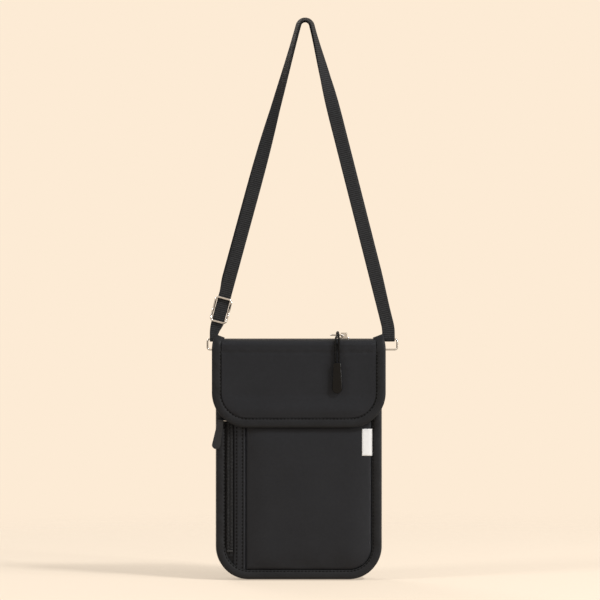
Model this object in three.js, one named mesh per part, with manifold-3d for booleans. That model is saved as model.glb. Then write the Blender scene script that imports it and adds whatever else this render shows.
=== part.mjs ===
// A flat crossbody pouch with a front flap, a zipped top, a zipped front pocket
// and an adjustable webbing strap. Millimetres, +Z up, the front faces -Y.
// The origin lies on the underside of the gusset, in the middle of the bag.
import * as THREE from 'three';
import { mergeVertices } from 'three/addons/utils/BufferGeometryUtils.js';
import Module from 'manifold-3d';

const wasm = await Module();
wasm.setup();

// Fits
const CLEARANCE = 0.3; // between neighbouring pieces
const OVERLAP = 1; // how far a cutting shape runs past what it cuts

// Bag body, seen from the front
const BAG_WIDTH = 122.4;
const BAG_HEIGHT = 176.5;
const BASE_CORNER = 24; // outline radius at the two lower corners
const TOP_CORNER = 23; // outline radius at the two upper corners
const COMPARTMENT_DEPTH = 14.2;
const GUSSET_WALL = 1.4;
const FRONT_PANEL_THICKNESS = 1.6;
const BACK_PANEL_THICKNESS = 2;
const BINDING_WIDTH = 6.5;
const FRONT_BINDING_THICKNESS = 3;
const BACK_BINDING_THICKNESS = 2;
const BINDING_DROP = 10.5; // the edge tape runs out under the flap, this far below the top
const DIVIDER_THICKNESS = 0.8;
const DIVIDER_HEIGHT = 140;
const CARD_SLOT_DEPTH = 2.4;

// Front pocket, its zip and the stitched placket beside it
const POCKET_DROP = 26.5; // upper edge of the pocket below the top of the bag
const POCKET_PANEL_THICKNESS = 1.8;
const PLACKET_WIDTH = 9;
const PLACKET_THICKNESS = 1.4;
const POCKET_ZIP_X = -51.1; // line where the two rows of teeth meet
const POCKET_ZIP_BOTTOM = 22;
const POCKET_ZIP_DROP = 22; // upper end of the teeth below the pocket's upper edge
const POCKET_TAPE_OVERRUN = 5; // tape past each end of the teeth
const POCKET_STOP_HEIGHT = 1.4; // bar across the lower end of the teeth
const POCKET_TAPE_REACH = 2.4; // tape from the meeting line to the placket

// Zip chain, shared by both zips
const TAPE_THICKNESS = 0.9;
const TOOTH_PITCH = 3;
const TOOTH_REACH = 1.1; // how far a tooth passes the meeting line
const TOOTH_RAIL = 0.9; // width of the cord that carries the teeth
const TOOTH_HEIGHT = 1.3;
const SLIDER_LENGTH = 8.4;
const SLIDER_PLATE = 1.2;
const SLIDER_FLANGE = 1;
const SLIDER_NOSE = 0.72; // width of the slider's narrow end over its wide end

// Top zip
const TOP_SLIDER_X = 33.7;
const BRIDGE_LENGTH = 4.6;
const BRIDGE_WIDTH = 1.6;
const BRIDGE_HEIGHT = 3.4;
const PULL_RING_LENGTH = 10;
const PULL_RING_WIDTH = 7;
const PULL_RING_CORNER = 2.4;
const PULL_RING_WIRE = 1.2;
const PULL_X = 28.4;
const PULL_CORD_DIAMETER = 1.6;
const PULL_STRAND_SPACING = 2.5;
const GRIP_DROP = 12.4; // upper end of the grip below the flap's hinge line
const GRIP_LENGTH = 22.5;
const GRIP_NECK = 5.6; // width at the cord end
const GRIP_FOOT = 7.4; // width at the free end
const GRIP_THICKNESS = 2.6;

// Pocket zip pull, a tab on a wire
const POCKET_SLIDER_DROP = 5; // middle of the slider below the upper end of the teeth
const TAB_AXIS_DROP = 5.4; // wire below the middle of the slider
const TAB_X = -58;
const TAB_WIRE_DIAMETER = 0.7;
const TAB_BARREL_DIAMETER = 2;
const TAB_LENGTH = 21;
const TAB_NECK = 4.4;
const TAB_FOOT = 6.4;
const TAB_LEAN = 3.1; // sideways shift of the tab's foot
const TAB_THICKNESS = 1.4;

// Flap
const FLAP_WIDTH = 128.7;
const FLAP_LENGTH = 60.3; // from the hinge line down to the lower edge
const FLAP_CORNER = 26;
const FLAP_THICKNESS = 1.6;
const FLAP_BINDING_WIDTH = 7;
const FLAP_BINDING_THICKNESS = 2.5;
const FLAP_AXIS_DROP = 3.6; // hinge line under the top of the gusset
const FLAP_BINDING_DROP = 1; // end of the flap's edge tape under the hinge line
const FOLD_WIDTH = 112;
const FOLD_THICKNESS = 1.2;
const FOLD_LIP = 1.1; // the fold's front edge slants up by this, to let the flap swing
const FOLD_SEAM = 4.6; // distance of the fold's rear seam from the zip's middle
const TOUCH_PAD_WIDTH = 42;
const TOUCH_PAD_HEIGHT = 16;
const TOUCH_PAD_LIFT = 3; // above the flap's edge tape
const HOOK_PAD_THICKNESS = 1.2;

// Sewn-in side label
const LABEL_WIDTH = 7.6;
const LABEL_HEIGHT = 20;
const LABEL_DROP = 1; // upper end of the label below the closed flap
const LABEL_THICKNESS = 0.5;

// Strap, with its rings and its adjuster
const WEBBING_WIDTH = 10;
const WEBBING_THICKNESS = 1;
const LEFT_RING_OUT = 0.4; // middle of each ring outside the side of the bag
const RIGHT_RING_OUT = 5.6;
const RING_RISE = 1.5; // bars that the strap hangs on, above the top of the bag
const RING_HEIGHT = 8;
const RING_CORNER = 1.5;
const RING_WIRE = 1.6;
const RING_TAB_HEIGHT = 3.2;
const RING_TAB_PLY = 0.9;
const CROWN_X = 5.9;
const CROWN_RISE = 255; // above the rings, where the two straight runs would cross
const CROWN_RADIUS = 6;
const RUN_KNEE = 8; // height above a ring where the webbing starts to lean
const RUN_BEND = 30; // radius of that bend
const LAYER_SPREAD_LENGTH = 12; // the layers close up over this length
const TWIST_LENGTH = 130; // the webbing turns a quarter over this length
const SEWN_LEG = 14;
const ADJUSTER_RISE = 22; // middle of the adjuster above the rings
const ADJUSTER_HEIGHT = 18; // between the middles of its outer bars
const ADJUSTER_WIRE = 1.6;
const ADJUSTER_CORNER = 2.4;
const ADJUSTER_SIDE_GAP = 0.4;
const ADJUSTER_FOLD = 11; // sewn end above the middle bar

// Roundness
const ARC_SEGMENTS = 8;
const WIRE_SIDES = 8;
const CORD_SIDES = 8;
const CORD_STEPS = 60;
const LOOP_STEPS = 36;
const FOLD_STEPS = 6;
const RUN_STEP = 14;
const BEND_STEP = Math.PI / 20;

// Layers from front to back, each worked out from its neighbour
const HALF_WIDTH = BAG_WIDTH / 2;
const ZIP_HALF = HALF_WIDTH - TOP_CORNER;
const RING_X = { left: -HALF_WIDTH - LEFT_RING_OUT, right: HALF_WIDTH + RIGHT_RING_OUT };
const RING_TOP = BAG_HEIGHT + RING_RISE;
const CROWN_PEAK = RING_TOP + CROWN_RISE;
const BINDING_TOP = BAG_HEIGHT - BINDING_DROP;
const POCKET_TOP = BAG_HEIGHT - POCKET_DROP;
const POCKET_ZIP_LENGTH = POCKET_TOP - POCKET_ZIP_DROP - POCKET_ZIP_BOTTOM;
const POCKET_SLIDER_Z = POCKET_ZIP_BOTTOM + POCKET_ZIP_LENGTH - POCKET_SLIDER_DROP;
const TAB_AXIS_Z = POCKET_SLIDER_Z - TAB_AXIS_DROP;
const GUSSET_FRONT = -COMPARTMENT_DEPTH / 2;
const GUSSET_BACK = COMPARTMENT_DEPTH / 2;
const FRONT_PANEL_BACK = GUSSET_FRONT - CLEARANCE;
const POCKET_BACK = FRONT_PANEL_BACK - FRONT_PANEL_THICKNESS - CLEARANCE;
const BACK_PANEL_FRONT = GUSSET_BACK + CLEARANCE;
const BACK_BINDING_FRONT = BACK_PANEL_FRONT + BACK_PANEL_THICKNESS + CLEARANCE;
const POCKET_FRONT = POCKET_BACK - POCKET_PANEL_THICKNESS;
const BINDING_FRONT = POCKET_BACK - FRONT_BINDING_THICKNESS;
const TAB_BARREL_Y = BINDING_FRONT - CLEARANCE - TAB_BARREL_DIAMETER / 2;
const FLAP_BINDING_BACK = TAB_BARREL_Y - TAB_THICKNESS / 2;
const FLAP_Y = FLAP_BINDING_BACK - FLAP_BINDING_THICKNESS / 2;
const FLAP_BACK = FLAP_Y + FLAP_THICKNESS / 2;
const FLAP_FRONT = FLAP_Y - FLAP_THICKNESS / 2;
const FLAP_AXIS_Z = BAG_HEIGHT - FLAP_AXIS_DROP;
const FLAP_BOTTOM = FLAP_AXIS_Z - FLAP_LENGTH;
const GRIP_TOP = FLAP_AXIS_Z - GRIP_DROP;
const TOUCH_PAD_BOTTOM = FLAP_BOTTOM + FLAP_BINDING_WIDTH + TOUCH_PAD_LIFT;
const LABEL_BOTTOM = FLAP_BOTTOM - LABEL_DROP - LABEL_HEIGHT;
const FOLD_BOTTOM = FLAP_AXIS_Z + FLAP_THICKNESS / 2 + CLEARANCE;
const FOLD_UNDERSIDE = BAG_HEIGHT + CLEARANCE;
const FOLD_TOP = FOLD_UNDERSIDE + FOLD_THICKNESS;
const TEETH_BASE = BAG_HEIGHT;
const TEETH_TOP = TEETH_BASE + TOOTH_HEIGHT;
const PULL_AXIS_Z = TEETH_TOP + CLEARANCE + SLIDER_PLATE + BRIDGE_HEIGHT / 2;
const PULL_AXIS_Y = -PULL_RING_WIDTH / 2;
const LAYER_HALF_GAP = (WEBBING_THICKNESS + CLEARANCE) / 2;
const FOLD_RADIUS = RING_WIRE / 2 + CLEARANCE + WEBBING_THICKNESS / 2;

const FABRIC = { color: 0x232324, roughness: 0.72, metalness: 0 };
const TRIM = { color: 0x1b1b1c, roughness: 0.8, metalness: 0 };
const WEBBING = { color: 0x242423, roughness: 0.85, metalness: 0 };
const NYLON = { color: 0x191919, roughness: 0.5, metalness: 0 };
const STEEL = { color: 0xc9c6c1, roughness: 0.25, metalness: 1 };
const GRIP = { color: 0x1d1d1d, roughness: 0.45, metalness: 0 };
const LINING = { color: 0x2c2c2e, roughness: 0.8, metalness: 0 };
const WHITE = { color: 0xefedea, roughness: 0.7, metalness: 0 };

const bag = new THREE.Group();

function piece(name, geometry, finish, parent = bag) {
  const mesh = new THREE.Mesh(geometry, new THREE.MeshStandardMaterial(finish));
  mesh.name = name;
  parent.add(mesh);
  return mesh;
}

// Solids and their joins and cuts
function toSolid(geometry) {
  const bare = new THREE.BufferGeometry();
  bare.setAttribute('position', geometry.getAttribute('position').clone());
  if (geometry.index) bare.setIndex(geometry.index.clone());
  const merged = mergeVertices(bare, 1e-4);
  const vertProperties = new Float32Array(merged.getAttribute('position').array);
  const triVerts = new Uint32Array(merged.index.array);
  return new wasm.Manifold(new wasm.Mesh({ numProp: 3, vertProperties, triVerts }));
}

function toGeometry(solid) {
  const mesh = solid.getMesh();
  const geometry = new THREE.BufferGeometry();
  geometry.setAttribute('position', new THREE.BufferAttribute(new Float32Array(mesh.vertProperties), 3));
  geometry.setIndex(new THREE.BufferAttribute(new Uint32Array(mesh.triVerts), 1));
  geometry.computeVertexNormals();
  return geometry;
}

const joined = (...shapes) => toGeometry(shapes.map(toSolid).reduce((a, b) => a.add(b)));
const cut = (shape, ...tools) => toGeometry(tools.map(toSolid).reduce((a, b) => a.subtract(b), toSolid(shape)));
const common = (a, b) => toGeometry(toSolid(a).intersect(toSolid(b)));

function box(x0, x1, y0, y1, z0, z1) {
  const geometry = new THREE.BoxGeometry(x1 - x0, y1 - y0, z1 - z0);
  return geometry.translate((x0 + x1) / 2, (y0 + y1) / 2, (z0 + z1) / 2);
}

// A front-view outline pulled from yFront to yBack
function plate(shape, yFront, yBack) {
  const settings = { depth: yBack - yFront, bevelEnabled: false, curveSegments: ARC_SEGMENTS };
  return new THREE.ExtrudeGeometry(shape, settings).rotateX(Math.PI / 2).translate(0, yBack, 0);
}

// A side-view outline, drawn in Y and Z, pulled from x0 to x1
function bar(shape, x0, x1) {
  const settings = { depth: x1 - x0, bevelEnabled: false, curveSegments: ARC_SEGMENTS };
  const geometry = new THREE.ExtrudeGeometry(shape, settings);
  return geometry.rotateZ(Math.PI / 2).rotateY(Math.PI / 2).translate(x0, 0, 0);
}

// An outline from above, drawn in X and Y, pulled from z0 to z1
function slab(shape, z0, z1) {
  const settings = { depth: z1 - z0, bevelEnabled: false, curveSegments: ARC_SEGMENTS };
  return new THREE.ExtrudeGeometry(shape, settings).translate(0, 0, z0);
}

function rodAlongX(x0, x1, y, z, diameter, sides = WIRE_SIDES) {
  const rod = new THREE.CylinderGeometry(diameter / 2, diameter / 2, x1 - x0, sides);
  return rod.rotateZ(Math.PI / 2).translate((x0 + x1) / 2, y, z);
}

function roundedBox(halfWidth, bottom, top, lowerRadius, upperRadius) {
  const shape = new THREE.Shape();
  shape.moveTo(-halfWidth, top - upperRadius);
  shape.lineTo(-halfWidth, bottom + lowerRadius);
  shape.absarc(lowerRadius - halfWidth, bottom + lowerRadius, lowerRadius, Math.PI, 1.5 * Math.PI);
  shape.lineTo(halfWidth - lowerRadius, bottom);
  shape.absarc(halfWidth - lowerRadius, bottom + lowerRadius, lowerRadius, 1.5 * Math.PI, 2 * Math.PI);
  shape.lineTo(halfWidth, top - upperRadius);
  shape.absarc(halfWidth - upperRadius, top - upperRadius, upperRadius, 0, Math.PI / 2);
  shape.lineTo(upperRadius - halfWidth, top);
  shape.absarc(upperRadius - halfWidth, top - upperRadius, upperRadius, Math.PI / 2, Math.PI);
  return shape;
}

// A tape of one width round the two sides and the bottom of an outline
function edgeTape(halfWidth, bottom, top, radius, width) {
  const inner = radius - width;
  const shape = new THREE.Shape();
  shape.moveTo(-halfWidth, top);
  shape.lineTo(-halfWidth, bottom + radius);
  shape.absarc(radius - halfWidth, bottom + radius, radius, Math.PI, 1.5 * Math.PI);
  shape.lineTo(halfWidth - radius, bottom);
  shape.absarc(halfWidth - radius, bottom + radius, radius, 1.5 * Math.PI, 2 * Math.PI);
  shape.lineTo(halfWidth, top);
  shape.lineTo(halfWidth - width, top);
  shape.lineTo(halfWidth - width, bottom + radius);
  shape.absarc(halfWidth - radius, bottom + radius, inner, 2 * Math.PI, 1.5 * Math.PI, true);
  shape.lineTo(radius - halfWidth, bottom + width);
  shape.absarc(radius - halfWidth, bottom + radius, inner, 1.5 * Math.PI, Math.PI, true);
  shape.lineTo(width - halfWidth, top);
  return shape;
}

// Sections swept to a closed body: rings of points, with flat ends or joined end to start.
// The last argument picks which diagonal splits each side, so that two twisted layers can nest.
function loft(rings, closed, crossed = false) {
  const sides = rings[0].length;
  const positions = rings.flat().flatMap((p) => [p.x, p.y, p.z]);
  const index = [];
  const spans = closed ? rings.length : rings.length - 1;
  for (let i = 0; i < spans; i += 1) {
    const a = i * sides;
    const b = ((i + 1) % rings.length) * sides;
    for (let j = 0; j < sides; j += 1) {
      const k = (j + 1) % sides;
      if (crossed) index.push(a + j, a + k, b + j, a + k, b + k, b + j);
      else index.push(a + j, a + k, b + k, a + j, b + k, b + j);
    }
  }
  if (!closed) {
    const last = (rings.length - 1) * sides;
    for (let j = 1; j < sides - 1; j += 1) {
      index.push(0, j + 1, j, last, last + j, last + j + 1);
    }
  }
  const geometry = new THREE.BufferGeometry();
  geometry.setAttribute('position', new THREE.Float32BufferAttribute(positions, 3));
  geometry.setIndex(index);
  geometry.computeVertexNormals();
  return geometry;
}

// A round wire or cord along a curve
function wire(curve, diameter, steps, sides) {
  const frames = curve.computeFrenetFrames(steps, false);
  const rings = [];
  for (let i = 0; i <= steps; i += 1) {
    const centre = curve.getPointAt(i / steps);
    const ring = [];
    for (let j = 0; j < sides; j += 1) {
      const angle = (2 * Math.PI * j) / sides;
      ring.push(centre.clone()
        .addScaledVector(frames.normals[i], Math.cos(angle) * diameter / 2)
        .addScaledVector(frames.binormals[i], Math.sin(angle) * diameter / 2));
    }
    rings.push(ring);
  }
  return loft(rings, false);
}

// A closed wire loop, drawn flat as a rounded box, then placed point by point
function wireLoop(halfWidth, halfHeight, corner, diameter, place) {
  const outline = roundedBox(halfWidth, -halfHeight, halfHeight, corner, corner);
  const flat = outline.getSpacedPoints(LOOP_STEPS).slice(0, -1);
  const rings = flat.map((p, i) => {
    const before = flat.at(i - 1);
    const after = flat[(i + 1) % flat.length];
    const along = new THREE.Vector2().subVectors(after, before).normalize();
    const ring = [];
    for (let j = 0; j < WIRE_SIDES; j += 1) {
      const angle = (2 * Math.PI * j) / WIRE_SIDES;
      const out = Math.cos(angle) * diameter / 2;
      const lift = -Math.sin(angle) * diameter / 2;
      ring.push(place(p.x + along.y * out, p.y - along.x * out, lift, p.y));
    }
    return ring;
  });
  return loft(rings, true);
}

// Flat webbing through a row of stations, each with its middle, its travel and its outer face
function webbing(stations, crossed) {
  const rings = stations.map(({ middle, travel, outward }) => {
    const across = new THREE.Vector3().crossVectors(travel, outward).normalize();
    const corners = [[-1, -1], [-1, 1], [1, 1], [1, -1]];
    return corners.map(([a, n]) => middle.clone()
      .addScaledVector(across, a * WEBBING_WIDTH / 2)
      .addScaledVector(outward, n * WEBBING_THICKNESS / 2));
  });
  return loft(rings, false, crossed);
}

// Compartment: gusset, front and back panels, edge tapes and the card divider
function makeCompartment() {
  const outline = roundedBox(HALF_WIDTH, 0, BAG_HEIGHT, BASE_CORNER, TOP_CORNER);
  const inside = roundedBox(HALF_WIDTH - GUSSET_WALL, GUSSET_WALL, BAG_HEIGHT - GUSSET_WALL,
    BASE_CORNER - GUSSET_WALL, TOP_CORNER - GUSSET_WALL);
  const mouth = box(-ZIP_HALF, ZIP_HALF, GUSSET_FRONT - OVERLAP, GUSSET_BACK + OVERLAP,
    BAG_HEIGHT - TOP_CORNER, BAG_HEIGHT + OVERLAP);
  const hollow = plate(inside, GUSSET_FRONT - OVERLAP, GUSSET_BACK + OVERLAP);
  piece('gusset', cut(plate(outline, GUSSET_FRONT, GUSSET_BACK), hollow, mouth), FABRIC);
  piece('front_panel', plate(outline, FRONT_PANEL_BACK - FRONT_PANEL_THICKNESS, FRONT_PANEL_BACK), FABRIC);
  piece('back_panel', plate(outline, BACK_PANEL_FRONT, BACK_PANEL_FRONT + BACK_PANEL_THICKNESS), FABRIC);

  const tape = edgeTape(HALF_WIDTH, 0, BINDING_TOP, BASE_CORNER, BINDING_WIDTH);
  piece('front_binding', plate(tape, BINDING_FRONT, POCKET_BACK), TRIM);
  const backTape = edgeTape(HALF_WIDTH, 0, BAG_HEIGHT - TOP_CORNER, BASE_CORNER, BINDING_WIDTH);
  piece('back_binding', plate(backTape, BACK_BINDING_FRONT, BACK_BINDING_FRONT + BACK_BINDING_THICKNESS), TRIM);

  const inset = GUSSET_WALL + CLEARANCE;
  const leaf = roundedBox(HALF_WIDTH - inset, inset, DIVIDER_HEIGHT, BASE_CORNER - inset, GUSSET_WALL);
  const leafBack = GUSSET_BACK - CARD_SLOT_DEPTH;
  piece('card_divider', plate(leaf, leafBack - DIVIDER_THICKNESS, leafBack), LINING);
}

// One row of zip teeth as a comb: its rail runs along +X and its teeth point to +Y
function combRow(length) {
  const tooth = TOOTH_PITCH / 2 - CLEARANCE;
  const shape = new THREE.Shape();
  const root = -TOOTH_REACH - CLEARANCE;
  shape.moveTo(0, root - TOOTH_RAIL);
  shape.lineTo(length, root - TOOTH_RAIL);
  shape.lineTo(length, root);
  const count = Math.floor(length / TOOTH_PITCH);
  const margin = (length - count * TOOTH_PITCH) / 2;
  for (let i = count - 1; i >= 0; i -= 1) {
    const middle = margin + (i + 0.25) * TOOTH_PITCH;
    shape.lineTo(middle + tooth / 2, root);
    shape.lineTo(middle + tooth / 2, TOOTH_REACH);
    shape.lineTo(middle - tooth / 2, TOOTH_REACH);
    shape.lineTo(middle - tooth / 2, root);
  }
  shape.lineTo(0, root);
  return slab(shape, 0, TOOTH_HEIGHT);
}

const CHAIN_HALF = TOOTH_REACH + CLEARANCE + TOOTH_RAIL;
const CHAIN_BACK = POCKET_BACK - TAPE_THICKNESS - CLEARANCE;

// Stands a chain piece upright with its top to the front, and its +Y turned to +X (side 1) or -X (side -1)
function uprightChain(geometry, side) {
  const along = new THREE.Vector3(0, 0, -side);
  const across = new THREE.Vector3(side, 0, 0);
  return geometry.applyMatrix4(new THREE.Matrix4().makeBasis(along, across, new THREE.Vector3(0, -1, 0)));
}

// A slider over the chain: a tapered plate with a flange down each side, sliding along X
function sliderBody() {
  const inner = CHAIN_HALF + CLEARANCE;
  const outer = inner + SLIDER_FLANGE;
  const half = SLIDER_LENGTH / 2;
  const shield = new THREE.Shape();
  shield.moveTo(-half, -outer * SLIDER_NOSE);
  shield.lineTo(half - outer / 2, -outer);
  shield.absarc(half - outer / 2, -outer / 2, outer / 2, -Math.PI / 2, 0);
  shield.absarc(half - outer / 2, outer / 2, outer / 2, 0, Math.PI / 2);
  shield.lineTo(-half, outer * SLIDER_NOSE);
  const roof = TOOTH_HEIGHT + CLEARANCE;
  const top = slab(shield, roof, roof + SLIDER_PLATE);
  const reach = half - outer / 2;
  const flange = (side) => box(-reach, reach, Math.min(side * inner, side * outer),
    Math.max(side * inner, side * outer), CLEARANCE, roof + SLIDER_PLATE / 2);
  return joined(top, flange(1), flange(-1));
}

// Top zip: two tapes and two rows of teeth across the mouth of the gusset
function makeTopZip() {
  const tapeTop = TEETH_BASE - CLEARANCE;
  const half = ZIP_HALF - CLEARANCE;
  for (const [name, side] of [['front', -1], ['back', 1]]) {
    const near = side * CLEARANCE / 2;
    const far = side * (GUSSET_BACK - CLEARANCE);
    piece(`top_zip_tape_${name}`,
      box(-half, half, Math.min(near, far), Math.max(near, far), tapeTop - TAPE_THICKNESS, tapeTop), TRIM);
    const row = piece(`top_zip_teeth_${name}`, combRow(2 * half), NYLON);
    row.position.set(side < 0 ? -half : half, 0, TEETH_BASE);
    row.rotation.z = side < 0 ? 0 : Math.PI;
  }
}

// Top slider with its bridge, the wire ring through the bridge, the cord and the grip
function makeTopPull() {
  const roof = TOOTH_HEIGHT + CLEARANCE + SLIDER_PLATE;
  const hole = PULL_RING_WIRE + 2 * CLEARANCE;
  const arch = box(-BRIDGE_LENGTH / 2, BRIDGE_LENGTH / 2, -BRIDGE_WIDTH / 2, BRIDGE_WIDTH / 2,
    roof - SLIDER_PLATE / 2, roof + BRIDGE_HEIGHT);
  const eye = new THREE.CylinderGeometry(hole / 2, hole / 2, BRIDGE_WIDTH + 2 * OVERLAP, 12);
  const bridge = cut(arch, eye.translate(0, 0, roof + BRIDGE_HEIGHT / 2));
  const slider = piece('top_zip_slider', joined(sliderBody(), bridge), STEEL);
  slider.position.set(TOP_SLIDER_X, 0, TEETH_BASE);

  const ring = wireLoop(PULL_RING_LENGTH / 2, PULL_RING_WIDTH / 2, PULL_RING_CORNER, PULL_RING_WIRE,
    (x, y, lift) => new THREE.Vector3(x, y, lift));
  const loop = piece('top_zip_ring', ring, STEEL);
  loop.position.set(TOP_SLIDER_X - PULL_RING_LENGTH / 2, 0, PULL_AXIS_Z);

  const bend = PULL_RING_WIRE / 2 + CLEARANCE + PULL_CORD_DIAMETER / 2;
  const front = FLAP_FRONT - CLEARANCE - PULL_CORD_DIAMETER / 2;
  const strand = (side, over) => [
    [side, front, GRIP_TOP + CLEARANCE],
    [side, front, (GRIP_TOP + FOLD_BOTTOM) / 2],
    [side, front, FOLD_BOTTOM],
    [side * 0.9, front + PULL_CORD_DIAMETER / 2, FOLD_TOP + over * 0.4],
    [side * 0.6, (front + PULL_AXIS_Y) / 2, FOLD_TOP + PULL_CORD_DIAMETER + over],
  ].map(([x, y, z]) => new THREE.Vector3(PULL_X + x, y, z));
  const half = PULL_STRAND_SPACING / 2;
  const around = [];
  for (let i = 0; i <= 4; i += 1) {
    const angle = Math.PI / 2 - (Math.PI * i) / 4;
    around.push(new THREE.Vector3(PULL_X, PULL_AXIS_Y + bend * Math.cos(angle),
      PULL_AXIS_Z + bend * Math.sin(angle)));
  }
  const upper = strand(half, 2 * bend);
  const lower = strand(-half, 0).reverse();
  const route = new THREE.CatmullRomCurve3([...upper, ...around, ...lower], false, 'centripetal');
  piece('top_zip_pull_cord', wire(route, PULL_CORD_DIAMETER, CORD_STEPS, CORD_SIDES), WEBBING);

  const grip = new THREE.Shape();
  const foot = GRIP_FOOT / 2;
  grip.moveTo(-GRIP_NECK / 2, 0);
  grip.lineTo(-foot, foot - GRIP_LENGTH);
  grip.absarc(0, foot - GRIP_LENGTH, foot, Math.PI, 2 * Math.PI);
  grip.lineTo(GRIP_NECK / 2, 0);
  const tab = piece('top_zip_pull_grip', plate(grip, -GRIP_THICKNESS / 2, GRIP_THICKNESS / 2), GRIP);
  tab.position.set(PULL_X, FLAP_FRONT - CLEARANCE - GRIP_THICKNESS / 2, GRIP_TOP);
}

// Front pocket: panel, placket, zip tapes and teeth, trimmed to the inside of the edge tape
function makeFrontPocket() {
  const inset = BINDING_WIDTH + CLEARANCE;
  const field = roundedBox(HALF_WIDTH - inset, inset, POCKET_TOP, BASE_CORNER - inset, CLEARANCE);
  const trimmed = (x0, x1, z0, z1, thickness) => common(
    plate(field, POCKET_BACK - thickness, POCKET_BACK),
    box(x0, x1, POCKET_BACK - thickness - OVERLAP, POCKET_BACK + OVERLAP, z0, z1));
  const placketLeft = POCKET_ZIP_X + POCKET_TAPE_REACH + CLEARANCE;
  const panelLeft = placketLeft + PLACKET_WIDTH + CLEARANCE;
  piece('pocket_panel', trimmed(panelLeft, HALF_WIDTH, 0, POCKET_TOP, POCKET_PANEL_THICKNESS), FABRIC);
  piece('pocket_placket', trimmed(placketLeft, panelLeft - CLEARANCE, 0, POCKET_TOP, PLACKET_THICKNESS), FABRIC);

  const low = POCKET_ZIP_BOTTOM - POCKET_TAPE_OVERRUN;
  const high = POCKET_ZIP_BOTTOM + POCKET_ZIP_LENGTH + POCKET_TAPE_OVERRUN;
  const seam = CLEARANCE / 2;
  piece('pocket_zip_tape_left',
    trimmed(-HALF_WIDTH, POCKET_ZIP_X - seam, low, high, TAPE_THICKNESS), TRIM);
  piece('pocket_zip_tape_right',
    trimmed(POCKET_ZIP_X + seam, placketLeft - CLEARANCE, low, high, TAPE_THICKNESS), TRIM);
  const left = piece('pocket_zip_teeth_left', uprightChain(combRow(POCKET_ZIP_LENGTH), 1), NYLON);
  left.position.set(POCKET_ZIP_X, CHAIN_BACK, POCKET_ZIP_BOTTOM + POCKET_ZIP_LENGTH);
  const right = piece('pocket_zip_teeth_right', uprightChain(combRow(POCKET_ZIP_LENGTH), -1), NYLON);
  right.position.set(POCKET_ZIP_X, CHAIN_BACK, POCKET_ZIP_BOTTOM);
  const stopTop = POCKET_ZIP_BOTTOM - CLEARANCE;
  piece('pocket_zip_stop', box(POCKET_ZIP_X - CHAIN_HALF, POCKET_ZIP_X + CHAIN_HALF,
    CHAIN_BACK - TOOTH_HEIGHT, CHAIN_BACK, stopTop - POCKET_STOP_HEIGHT, stopTop), NYLON);
}

// Pocket slider with the wire that carries its pull, and the tab that swings on the wire
function makePocketPull() {
  const body = uprightChain(sliderBody(), 1).translate(POCKET_ZIP_X, CHAIN_BACK, POCKET_SLIDER_Z);
  const plateBack = CHAIN_BACK - TOOTH_HEIGHT - CLEARANCE;
  const wireRadius = TAB_WIRE_DIAMETER / 2;
  const lug = box(POCKET_ZIP_X - BRIDGE_WIDTH / 2, POCKET_ZIP_X + BRIDGE_WIDTH / 2,
    TAB_BARREL_Y - wireRadius, plateBack, TAB_AXIS_Z - wireRadius, POCKET_SLIDER_Z);
  const neck = TAB_NECK / 2;
  const arm = rodAlongX(TAB_X - neck, POCKET_ZIP_X, TAB_BARREL_Y, TAB_AXIS_Z, TAB_WIRE_DIAMETER);
  piece('pocket_zip_slider', joined(body, lug, arm), STEEL);

  const bore = TAB_WIRE_DIAMETER + 2 * CLEARANCE;
  const foot = TAB_FOOT / 2;
  const blade = new THREE.Shape();
  blade.moveTo(neck, -bore / 2);
  blade.lineTo(-neck, -bore / 2);
  blade.lineTo(-TAB_LEAN - foot, foot - TAB_LENGTH);
  blade.absarc(-TAB_LEAN, foot - TAB_LENGTH, foot, Math.PI, 2 * Math.PI);
  const leaf = plate(blade, -TAB_THICKNESS / 2, TAB_THICKNESS / 2);
  const barrel = rodAlongX(-neck, neck, 0, 0, TAB_BARREL_DIAMETER, 2 * WIRE_SIDES);
  const hole = rodAlongX(-neck - OVERLAP, neck + OVERLAP, 0, 0, bore, 2 * WIRE_SIDES);
  const tab = piece('pocket_zip_tab', cut(joined(leaf, barrel), hole), GRIP);
  tab.position.set(TAB_X, TAB_BARREL_Y, TAB_AXIS_Z);
}

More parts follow.
